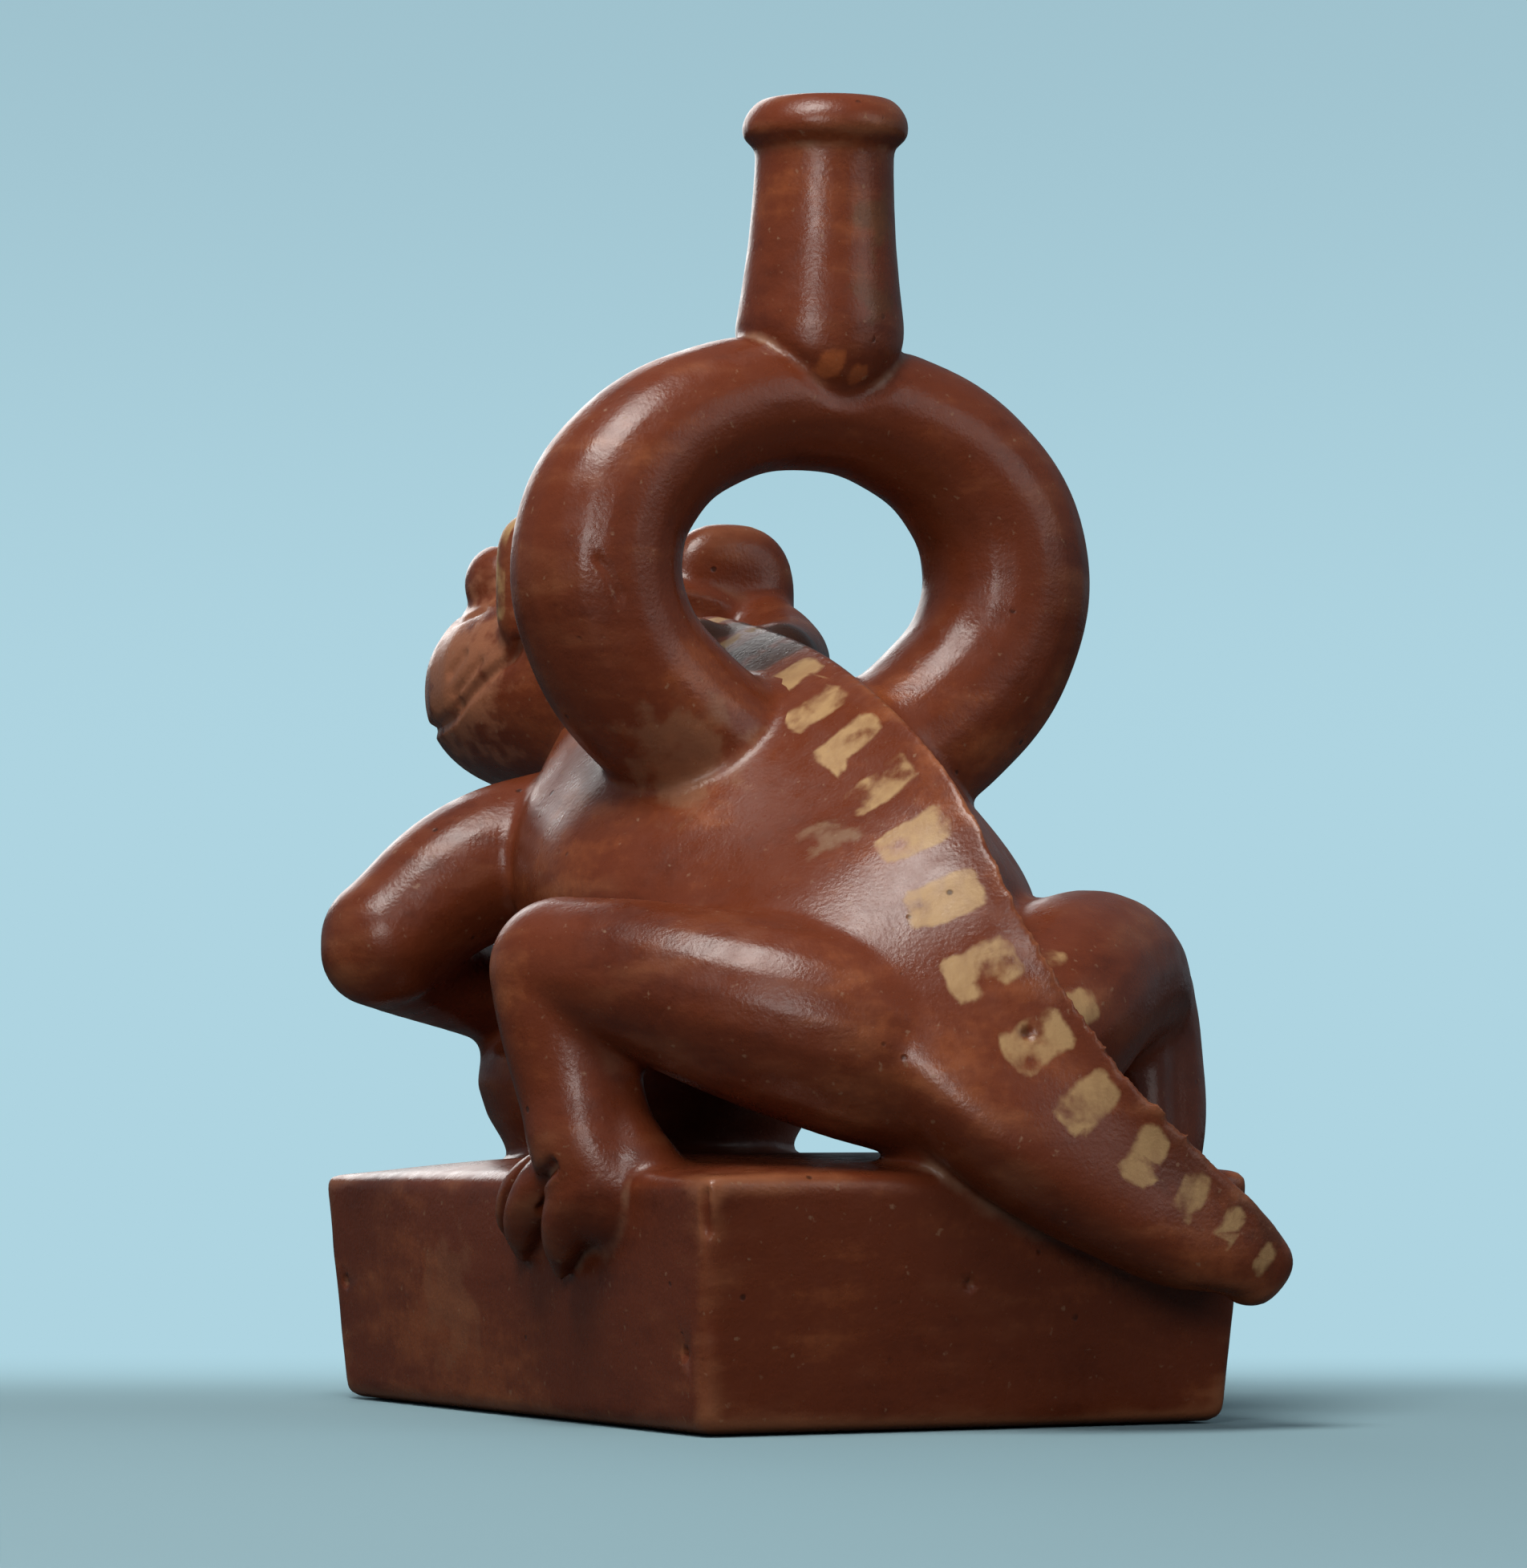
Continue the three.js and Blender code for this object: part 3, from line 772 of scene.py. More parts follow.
@dataclass
class HindLeg:
    """A hind leg: thigh, shin, calf and three pointed toes that grip the edge of the foot."""

    side: Side = Side.LEFT
    thigh: Path = field(default_factory=lambda: [
        ((4, 72, 62), 16.4), ((20, 68, 68), 17.6), ((37, 57, 74), 16.3), ((50, 41, 79), 13.7),
        ((56, 29, 80), 13.1),
    ])
    shin: Path = field(default_factory=lambda: [
        ((56.3, 28.3, 80), 13), ((56, 30.5, 70), 12.3), ((55, 33.5, 58), 11.2), ((54.5, 37, 48), 10.8),
        ((50.5, 39, 42), 11.5),
    ])
    calf: Path = field(default_factory=lambda: [
        ((51, 38, 74), 7.0), ((51.5, 39.4, 66), 5.0), ((51, 40.6, 55), 5.4), ((50, 43, 48.5), 6.8),
        ((48, 44.5, 43), 8),
    ])
    toes: tuple[Path, ...] = (
        [
            ((50, 43, 44), 6.8), ((55, 41.5, 43), 7.0), ((58.2, 37, 37.5), 5.6),
            ((58, 32, 31), 3.6), ((56.8, 28.8, 26.8), 1.7),
        ],
        [
            ((50, 35, 44), 6.4), ((55.5, 29, 44), 5.9), ((58.6, 21.5, 39), 4.8),
            ((58.2, 15.8, 33), 3.4), ((56.8, 13, 29.6), 1.8),
        ],
        [
            ((50, 29, 44.5), 5), ((55, 19.5, 44), 4.6), ((57.6, 12, 39.5), 3.6),
            ((57.2, 8.6, 35), 2.6), ((56, 7, 32.6), 1.6),
        ],
    )

    def build(self) -> bpy.types.Object:
        """Model the leg as a left leg, and mirror it when it stands on the right.

        Returns:
            Closed meshes that overlap one another, in one object.
        """
        parts = [rolled_tube(name, path) for name, path in
                 (("thigh", self.thigh), ("shin", self.shin), ("calf", self.calf))]
        parts += [rolled_tube("toe", toe) for toe in self.toes]
        leg = join(parts, "leg")
        if self.side is Side.RIGHT:
            mirror(leg)
        return leg


RIGHT_LEG = HindLeg(
    side=Side.RIGHT,
    thigh=[
        ((4, 72, 62), 16.4), ((18, 66, 70), 17.5), ((32, 55, 77), 17), ((46, 43, 78.5), 15.2),
        ((55, 32.5, 75), 13.6),
    ],
    shin=[((55, 32.5, 75), 13.6), ((57, 34, 65), 12.6), ((55.4, 40, 50), 11.2), ((51, 42, 42), 12)],
    calf=[((50, 43, 70), 8), ((50, 46, 60), 6.4), ((49, 49, 50), 6.2), ((47, 50, 43), 7.8)],
)


@dataclass
class Arm:
    """A bent arm whose elbow points out and whose hand rests on the mound."""

    upper: Path = field(default_factory=lambda: [
        ((20, -40, 104), 15.4), ((41.7, -41.5, 98.5), 13.9), ((58.5, -43, 86), 12.2),
    ])
    fore: Path = field(default_factory=lambda: [
        ((60.5, -43, 84), 10.4), ((46.2, -54.5, 81.2), 10.2), ((27, -65, 76), 9),
    ])
    fingers: int = 3

    def build(self) -> list[bpy.types.Object]:
        """Model the left arm with its hand, and the mirrored copy.

        Returns:
            Closed meshes that overlap one another.
        """
        parts = [rolled_tube("upper_arm", self.upper), rolled_tube("forearm", self.fore)]
        for i in range(self.fingers):
            spread = i - (self.fingers - 1) / 2
            parts.append(rolled_tube("finger", [
                ((26, -66 - 2 * spread, 74 + 4.6 * spread), 4.6),
                ((19, -75 - spread, 71 + 5.2 * spread), 4.0),
                ((12, -81.5, 67 + 5.4 * spread), 3.1),
            ]))
        arm = join(parts, "arm_left")
        return [arm, mirrored(arm, "arm_right")]


@dataclass
class Trunk:
    """What the animal leans on: a round mound on the foot, the chest above it and the rump."""

    mound: tuple[Ring, ...] = (
        ((-2.5, -57, 38.5), 26.5, 26),
        ((-2.5, -57, 43.5), 26.2, 25.6),
        ((-2.5, -57, 48), 27.8, 27),
        ((-2.5, -57, 53), 31, 29.4),
        ((-2.5, -57, 59), 33, 31),
        ((-2.5, -57, 64.5), 32.4, 30),
        ((-2.5, -57, 70), 27, 25),
        ((-2.5, -57, 74), 15, 14),
    )
    chest: tuple[Ring, ...] = (
        ((0, -52, 60), 19.6, 18.6),
        ((0, -51, 72), 21.6, 20.2),
        ((0, -50, 83), 23, 21),
        ((0, -47, 94), 24.6, 22.2),
        ((0, -44, 106), 26.2, 23),
    )
    rump_at: Point = (-2.5, 72, 56)
    rump_size: Point = (16.5, 15.5, 19)

    def build(self) -> list[bpy.types.Object]:
        """Model the mound, the chest and the rump.

        Returns:
            Closed meshes that overlap one another.
        """
        return [
            stacked("mound", (0, 0, 1), list(self.mound)),
            stacked("chest", (0, 0, 1), list(self.chest)),
            clay_ball("rump", self.rump_at, self.rump_size),
        ]


# ---- the handle and the spout --------------------------------------------------------------------
@dataclass
class Stirrup:
    """The hollow handle: one thick tube that rises from the back and arches over it."""

    y: float = 12.5
    half_span: float = 42.0
    rise: float = 31.0
    fall: float = 35.0
    spring_z: float = 153.0
    foot: Point = (10, 12.5, 115)
    tube: float = 15.6
    crown: float = 12.6
    inset: float = 0.0
    first: float = -48.0
    steps: int = 10
    foot_share: float = 0.98

    def path(self) -> Path:
        """Return the arch's middle line and its thickness, in millimetres."""
        arch: Path = []
        turn = (180 - 2 * self.first) / self.steps
        for step in range(self.steps + 1):
            angle = math.radians(self.first + step * turn)
            height = (self.rise if math.sin(angle) > 0 else self.fall) * math.sin(angle)
            slim = (self.tube - self.crown) * max(0.0, math.sin(angle)) ** 2
            at = (self.half_span * math.cos(angle), self.y, self.spring_z + height)
            arch.append((at, self.tube - slim - self.inset))
        x, y, z = self.foot
        width = self.tube * self.foot_share - self.inset
        return [((x, y, z), width), *arch, ((-x, y, z), width)]

    def build(self) -> bpy.types.Object:
        """Model the arch as one rolled tube."""
        return rolled_tube("stirrup", self.path())

    def gap(self, points: np.ndarray) -> np.ndarray:
        """Return how far points lie outside the tube, in millimetres."""
        keys = np.array([[*at, radius] for at, radius in self.path()], float)
        arch = carried(keys, 120)
        gap, along = distance_to_path(points, arch[:, :3])
        return gap - np.interp(along, lengths_along(arch[:, :3]), arch[:, 3])


@dataclass
class Spout:
    """The straight spout: slender, a little out of plumb, with a rolled lip and an open bore."""

    x: float = -2.7
    y: float = 12.5
    lean: float = -1.9
    tip_z: float = 181.0
    top_z: float = 239.8
    outline: tuple[tuple[float, float], ...] = (
        (176, 7), (180, 9.6), (184, 12.2), (188, 14.2), (193, 15.5), (198, 15.5), (205, 14.5), (213, 13.6),
        (220, 13.1), (226, 12.8), (231.6, 12.7),
    )
    lip: tuple[tuple[float, float], ...] = (
        (230.9, 12.2), (231.3, 13.6), (232.3, 14.9), (233.6, 15.4), (235.2, 15.3), (236.9, 14.6),
        (238.4, 13.5), (239.4, 12.3), (239.8, 11),
    )
    bore: float = 8.6
    mouth: float = 11.0

    def _axis(self, z: float | np.ndarray) -> float | np.ndarray:
        """Return where the leaning spout's middle lies across the vessel at a height."""
        return self.x + self.lean * (z - self.tip_z) / (self.top_z - self.tip_z)

    def _level(self, z: float, radius: float) -> Ring:
        """Return one round level of the spout."""
        return (self._axis(z), self.y, z), radius, radius

    def gap(self, points: np.ndarray) -> np.ndarray:
        """Return how far points lie outside the neck, in millimetres."""
        x, y, z = points.T
        levels = np.array(self.outline)
        return np.hypot(x - self._axis(z), y - self.y) - np.interp(z, levels[:, 0], levels[:, 1])

    def build(self) -> list[bpy.types.Object]:
        """Model the neck and the rolled lip.

        Returns:
            Closed meshes that overlap one another.
        """
        neck = stacked("neck", (0, 0, 1), [self._level(z, r) for z, r in self.outline])
        return [neck, stacked("lip", (0, 0, 1), [self._level(z, r) for z, r in self.lip])]

    def bored(self) -> bpy.types.Object:
        """Model the channel that is cut out of the spout, flared at the mouth."""
        levels = [(182, self.bore), (231, self.bore), (235, self.bore + 0.4), (237.5, self.bore + 1.2),
                  (239.6, self.mouth - 0.4), (240.2, self.mouth), (244, self.mouth + 1)]
        return stacked("bore", (0, 0, 1), [self._level(z, r) for z, r in levels])


# ---- the whole vessel ----------------------------------------------------------------------------
@dataclass(frozen=True)
class Groove:
    """A groove pressed into the clay: its points, its half width and its depth, in millimetres."""

    line: Line
    width: float
    depth: float


@dataclass
class Incisions:
    """Lines and pits pressed into the clay before it was fired, and small damage since."""

    toe_gaps: tuple[Groove, ...] = tuple(Groove(line, 2.0, 2.2) for line in (
        ((55.5, 37.5, 47.5), (59, 32.5, 42), (60, 28.5, 36), (58.5, 25, 30)),
        ((56, 25, 47), (60, 18, 41.5), (60, 13, 36), (58, 10, 32)),
        ((55, 30, 49), (57, 26, 48), (58.5, 22, 45)),
    ))
    mouth: Groove = Groove((
        (30, -50, 141), (31, -57, 137.5), (31, -64, 133.5), (29.5, -72, 130), (28, -82, 128.5),
        (24, -93, 128), (17, -102, 128.5), (8, -108.5, 129), (0, -110.5, 129.3),
    ), 1.9, 1.1)
    nostril: Groove = Groove(((4.5, -110, 136),), 2.2, 1.8)
    strokes: tuple[Groove, ...] = tuple(Groove(line, 1.5, 0.7) for line in (
        ((30.5, -62, 139), (31, -66, 135.5), (30.5, -70, 133)),
        ((30.5, -67, 140.5), (31, -71, 137)),
        ((24, -84, 150.5), (27, -80, 147.8), (28, -75, 147), (26, -69, 148.5)),
        ((20, -86, 157), (22, -82, 163), (20, -75, 165.5), (18, -68, 163)),
        ((21, -73, 79), (13, -83, 74)),
        ((22, -75, 73), (14, -85, 68)),
    ))
    score: Groove = Groove(((54.5, 79.6, 42), (54.1, 79.4, 38.5), (53.9, 79.6, 35)), 1.3, 0.8)
    scratch: Groove = Groove(((44.5, 27, 146), (46, 26, 150), (47, 24, 153)), 1.2, 0.5)
    pits: tuple[Groove, ...] = tuple(Groove((at,), 1.6, 1.3) for at in (
        (54, -73.5, 21.7), (54, 12, 30), (-1, 97, 70), (48, 70, 14), (2, 81, 25),
    ))

    def press(self, piece: bpy.types.Object) -> None:
        """Press every line and pit into the clay, on both sides where it is paired."""
        for side in Side:
            for groove in (*self.toe_gaps, self.mouth, self.nostril, *self.strokes):
                line = [(side.value * x, y, z) for x, y, z in groove.line]
                incise(piece, line, groove.width, groove.depth)
        for groove in (self.score, self.scratch, *self.pits):
            incise(piece, list(groove.line), groove.width, groove.depth)


@dataclass(frozen=True)
class Creases:
    """Where the joints keep their crease: shares from 0, softened, to 1, sharp, and places in millimetres."""

    lip_above: float = 226.0
    spout_above: float = 168.0
    spout_fade: float = 8.0
    arch_share: float = 0.6
    arch_reach: float = 4.0
    toes_inset: float = 1.5
    toes_below: float = 48.0
    box_share: float = 0.75
    box_fade: float = 6.0
    tail_share: float = 0.9
    tail_behind: float = 66.0
    tail_below: float = 64.0
    tail_right_of: float = 10.0
    face_share: float = 0.75
    face_before: float = -48.0
    face_above: float = 125.0


@dataclass(frozen=True)
class Room:
    """How the hollow inside follows the outside: extra insets in millimetres, and the levels it keeps."""

    back_extra: float = 0.6
    back_levels: tuple[int, int] = (1, 8)
    back_sides: int = 24
    back_rings: int = 40
    head_extra: float = 1.0
    head_levels: int = 9
    mound_levels: int = 6
    box_inset: tuple[float, float] = (8.0, 11.0)
    cell: float = 3.0


@dataclass
class Vessel:
    """The one hollow fired piece, joined from all its forms."""

    foot: Foot = field(default_factory=Foot)
    back: KeeledBack = field(default_factory=KeeledBack)
    head: Head = field(default_factory=Head)
    legs: tuple[HindLeg, HindLeg] = field(default_factory=lambda: (HindLeg(), RIGHT_LEG))
    arm: Arm = field(default_factory=Arm)
    trunk: Trunk = field(default_factory=Trunk)
    stirrup: Stirrup = field(default_factory=Stirrup)
    spout: Spout = field(default_factory=Spout)
    incisions: Incisions = field(default_factory=Incisions)
    paint: SpinePaint = field(default_factory=SpinePaint)
    creases: Creases = Creases()
    room: Room = Room()
    wall: float = 4.5
    floor: float = 6.0
    skin_cell: float = 0.9
    probe_rounds: int = 12
    joint_depth: float = 0.5
    joint_spread: int = 10
    joint_gain: float = 1.5
    joint_rounds: int = 40
    polish: int = 5
    seam_width: float = 1.5
    seam_depth: float = 0.9
    seam_span: tuple[float, float] = (181.0, 201.0)
    kept_share: float = 0.33
    bare_margin: float = 1.6
    bare_above: float = 160.0
    dust_rounds: int = 20
    dust_depth: float = 2.0

    def build(self) -> bpy.types.Object:
        """Join the forms, soften the joints, hollow the inside and mark the surface for the paint.

        Returns:
            The finished mesh.
        """
        piece = self._joined()
        self._soften(piece)
        self._seam(piece)
        self.incisions.press(piece)
        apply_modifier(piece, "DECIMATE", decimate_type="COLLAPSE", ratio=self.kept_share)
        subtract(piece, self._room())
        piece.name = "Vessel"
        self._mark(piece)
        activate(piece)
        bpy.ops.object.shade_smooth()
        return piece

    def _joined(self) -> bpy.types.Object:
        """Model every form and fuse them into one skin."""
        forms = [
            self.foot.build(), self.back.build(), *self.head.build(),
            *(leg.build() for leg in self.legs), *self.arm.build(), *self.trunk.build(),
            self.stirrup.build(), *self.spout.build(),
        ]
        piece = join(forms, "clay")
        remesh(piece, self.skin_cell)
        return piece

    def _soften(self, piece: bpy.types.Object) -> None:
        """Smooth the clay where forms meet, and leave the lip, the toes and the box's edges crisp."""
        points = points_of(piece)
        edges = edges_of(piece)
        deep = np.clip(hollowness(piece, self.probe_rounds) / self.joint_depth, 0, 1)
        joint = relaxed(deep, edges, self.joint_spread)
        share = 0.5 * np.clip(joint * self.joint_gain, 0, 1) * (1 - self._crisp(points))
        blended = relaxed(points, edges, self.joint_rounds, share)
        move_points(piece, relaxed(blended, edges, self.polish))

    def _crisp(self, points: np.ndarray) -> np.ndarray:
        """Return how far each joint keeps its crease: 1 where it stays sharp, 0 where it is softened."""
        x, y, z = points.T
        crease = self.creases
        arch, _ = distance_to_path(points, np.array([at for at, _ in self.stirrup.path()], float))
        beside = np.abs(x) > self.foot.half_x - crease.toes_inset
        by_tail = (y > crease.tail_behind) & (z < crease.tail_below) & (x < crease.tail_right_of)
        return np.maximum.reduce([
            1.0 * (z > crease.lip_above),
            np.clip((z - crease.spout_above) / crease.spout_fade, 0, 1),
            crease.arch_share * (arch < self.stirrup.tube + crease.arch_reach),
            1.0 * (beside & (z < crease.toes_below)),
            crease.box_share * np.clip(1 - (z - self.foot.height) / crease.box_fade, 0, 1),
            crease.tail_share * by_tail,
            crease.face_share * ((y < crease.face_before) & (z > crease.face_above)),
        ])

    def _room(self) -> bpy.types.Object:
        """Model the hollow inside: every form again, one wall smaller, and the bore of the spout."""
        room, wall = self.room, self.wall

        def shrunk(rings: tuple[Ring, ...], inset: float) -> list[Ring]:
            """Return levels that are smaller all round by an inset."""
            return [(at, width - inset, height - inset) for at, width, height in rings]

        first, last = room.back_levels
        torso = KeeledBack(
            sides=room.back_sides, levels=room.back_rings, first=first, last=last,
            inset=wall + room.back_extra,
        ).build()
        skull = shrunk(self.head.rings[:room.head_levels], wall + room.head_extra)
        head = stacked("head_room", (0, -1, 0), skull, self.head.square)
        mound = stacked("mound_room", (0, 0, 1), shrunk(self.trunk.mound[:room.mound_levels], wall))
        chest = stacked("chest_room", (0, 0, 1), shrunk(self.trunk.chest, wall))
        arch = Stirrup(inset=wall).build()
        piece = join([torso, head, mound, chest, self._box_room(), arch], "room")
        remesh(piece, room.cell)
        bore = self.spout.bored()
        apply_modifier(piece, "BOOLEAN", operation="UNION", solver="MANIFOLD", object=bore)
        bpy.data.objects.remove(bore)
        return piece

    def _box_room(self) -> bpy.types.Object:
        """Model the hollow inside the foot."""
        low, high = self.floor, self.foot.height - self.wall
        across, along = self.room.box_inset
        deselect()
        bpy.ops.mesh.primitive_cube_add(
            size=2, location=metres((0, 0, (low + high) / 2)),
            scale=metres((self.foot.half_x - across, self.foot.half_y - along, (high - low) / 2)),
        )
        return named("box_room")

    def _seam(self, piece: bpy.types.Object) -> None:
        """Deepen the crease where the spout was luted onto the stirrup."""
        points = points_of(piece)
        low, high = self.seam_span
        span = np.clip((points[:, 2] - low) / 2, 0, 1) * np.clip((high - points[:, 2]) / 3, 0, 1)
        from_both = self.spout.gap(points) ** 2 + self.stirrup.gap(points) ** 2
        groove = self.seam_depth * np.exp(-from_both / self.seam_width**2) * span
        move_points(piece, points - normals_of(piece) * groove[:, None])

    def _mark(self, piece: bpy.types.Object) -> None:
        """Store on the mesh where the painted patches, the cream rims and the dusty hollows lie."""
        points = points_of(piece)
        bare = (self.stirrup.gap(points) < self.bare_margin) | (points[:, 2] > self.bare_above)
        self.paint.mark(piece, self.back, bare)
        deep = np.clip(hollowness(piece, self.dust_rounds), -self.dust_depth, self.dust_depth)
        store(piece, "hollow", relaxed(deep, edges_of(piece), 2))
        store(piece, "rim", self.head.rim(points))


# ---- the finish ----------------------------------------------------------------------------------
Colour = tuple[float, float, float, float]


def shade(red: int, green: int, blue: int) -> Colour:
    """Return a display colour, given from 0 to 255, as the linear colour that a shader reads."""
    def linear(value: int) -> float:
        """Undo the display curve of one channel."""
        share = value / 255
        return share / 12.92 if share <= 0.04045 else ((share + 0.055) / 1.055) ** 2.4

    return linear(red), linear(green), linear(blue), 1.0


class Wires:
    """Short calls that add linked nodes to a shader tree."""

    def __init__(self, tree: bpy.types.NodeTree) -> None:
        """Keep the tree that the nodes are added to."""
        self.tree = tree

    def node(self, kind: str, **settings: object) -> bpy.types.Node:
        """Add a shader node and set its properties."""
        node = self.tree.nodes.new("ShaderNode" + kind)
        for key, value in settings.items():
            setattr(node, key, value)
        return node

    def plug(self, target: bpy.types.NodeSocket, value: object) -> None:
        """Link a socket to an input, or set the input's value."""
        if isinstance(value, bpy.types.NodeSocket):
            self.tree.links.new(value, target)
        else:
            target.default_value = value

    def math(self, operation: str, *values: object) -> bpy.types.NodeSocket:
        """Return one number worked out from others."""
        node = self.node("Math", operation=operation)
        for target, value in zip(node.inputs, values):
            self.plug(target, value)
        return node.outputs[0]

    def step(self, value: object, low: float, high: float) -> bpy.types.NodeSocket:
        """Return a soft step from 0 at low to 1 at high."""
        node = self.node("MapRange", interpolation_type="SMOOTHSTEP")
        self.plug(node.inputs["Value"], value)
        node.inputs["From Min"].default_value = low
        node.inputs["From Max"].default_value = high
        return node.outputs["Result"]

    def spread(self, noise: bpy.types.NodeSocket, reach: float) -> bpy.types.NodeSocket:
        """Centre a noise on nought and stretch it to a reach."""
        return self.math("MULTIPLY", self.math("SUBTRACT", noise, 0.5), reach)

    def noise(
        self, place: bpy.types.NodeSocket, scale: float, detail: float = 4.0, stretch: Point = (1, 1, 1)
    ) -> bpy.types.NodeSocket:
        """Add cloudy noise.

        Args:
            place: The position that it is read at.
            scale: How many lumps there are to the metre.
            detail: How much finer noise lies on the lumps.
            stretch: How the position is scaled along the axes first.

        Returns:
            The noise, from 0 to 1.
        """
        mapping = self.node("Mapping")
        self.plug(mapping.inputs["Vector"], place)
        mapping.inputs["Scale"].default_value = stretch
        node = self.node("TexNoise")
        self.plug(node.inputs["Vector"], mapping.outputs["Vector"])
        node.inputs["Scale"].default_value = scale
        node.inputs["Detail"].default_value = detail
        return node.outputs["Fac"]

    def mix(self, share: object, first: object, second: object) -> bpy.types.NodeSocket:
        """Return a blend of two colours."""
        node = self.node("Mix", data_type="RGBA")
        self.plug(node.inputs[0], share)
        self.plug(node.inputs[6], first)
        self.plug(node.inputs[7], second)
        return node.outputs[2]

    def group(self, effect: "Effect", **inputs: object) -> bpy.types.NodeOutputs:
        """Add a node group with its inputs plugged, and return its outputs."""
        node = self.node("Group")
        node.node_tree = effect.tree
        for name, value in inputs.items():
            self.plug(node.inputs[name], value)
        return node.outputs

    def attribute(self, name: str) -> bpy.types.NodeSocket:
        """Return a number that is stored on the mesh."""
        return self.node("Attribute", attribute_name=name).outputs["Fac"]


class Effect(Wires):
    """A shader node group, shared by any material that needs the effect."""

    def __init__(self, name: str, inputs: dict[str, str], outputs: dict[str, str]) -> None:
        """Make an empty group with its sockets.

        Args:
            name: The group's name.
            inputs: Each input's name and type.
            outputs: Each output's name and type.
        """
        super().__init__(bpy.data.node_groups.new(name, "ShaderNodeTree"))
        for sockets, way in ((inputs, "INPUT"), (outputs, "OUTPUT")):
            for label, kind in sockets.items():
                self.tree.interface.new_socket(label, in_out=way, socket_type="NodeSocket" + kind)
        self.given = self.tree.nodes.new("NodeGroupInput").outputs
        self.result = self.tree.nodes.new("NodeGroupOutput").inputs


@dataclass(frozen=True)
class Smudge:
    """A worn or stained spot: its middle and size in millimetres, its colour and its strength."""

    at: Point
    size: float
    colour: Colour
    strength: float


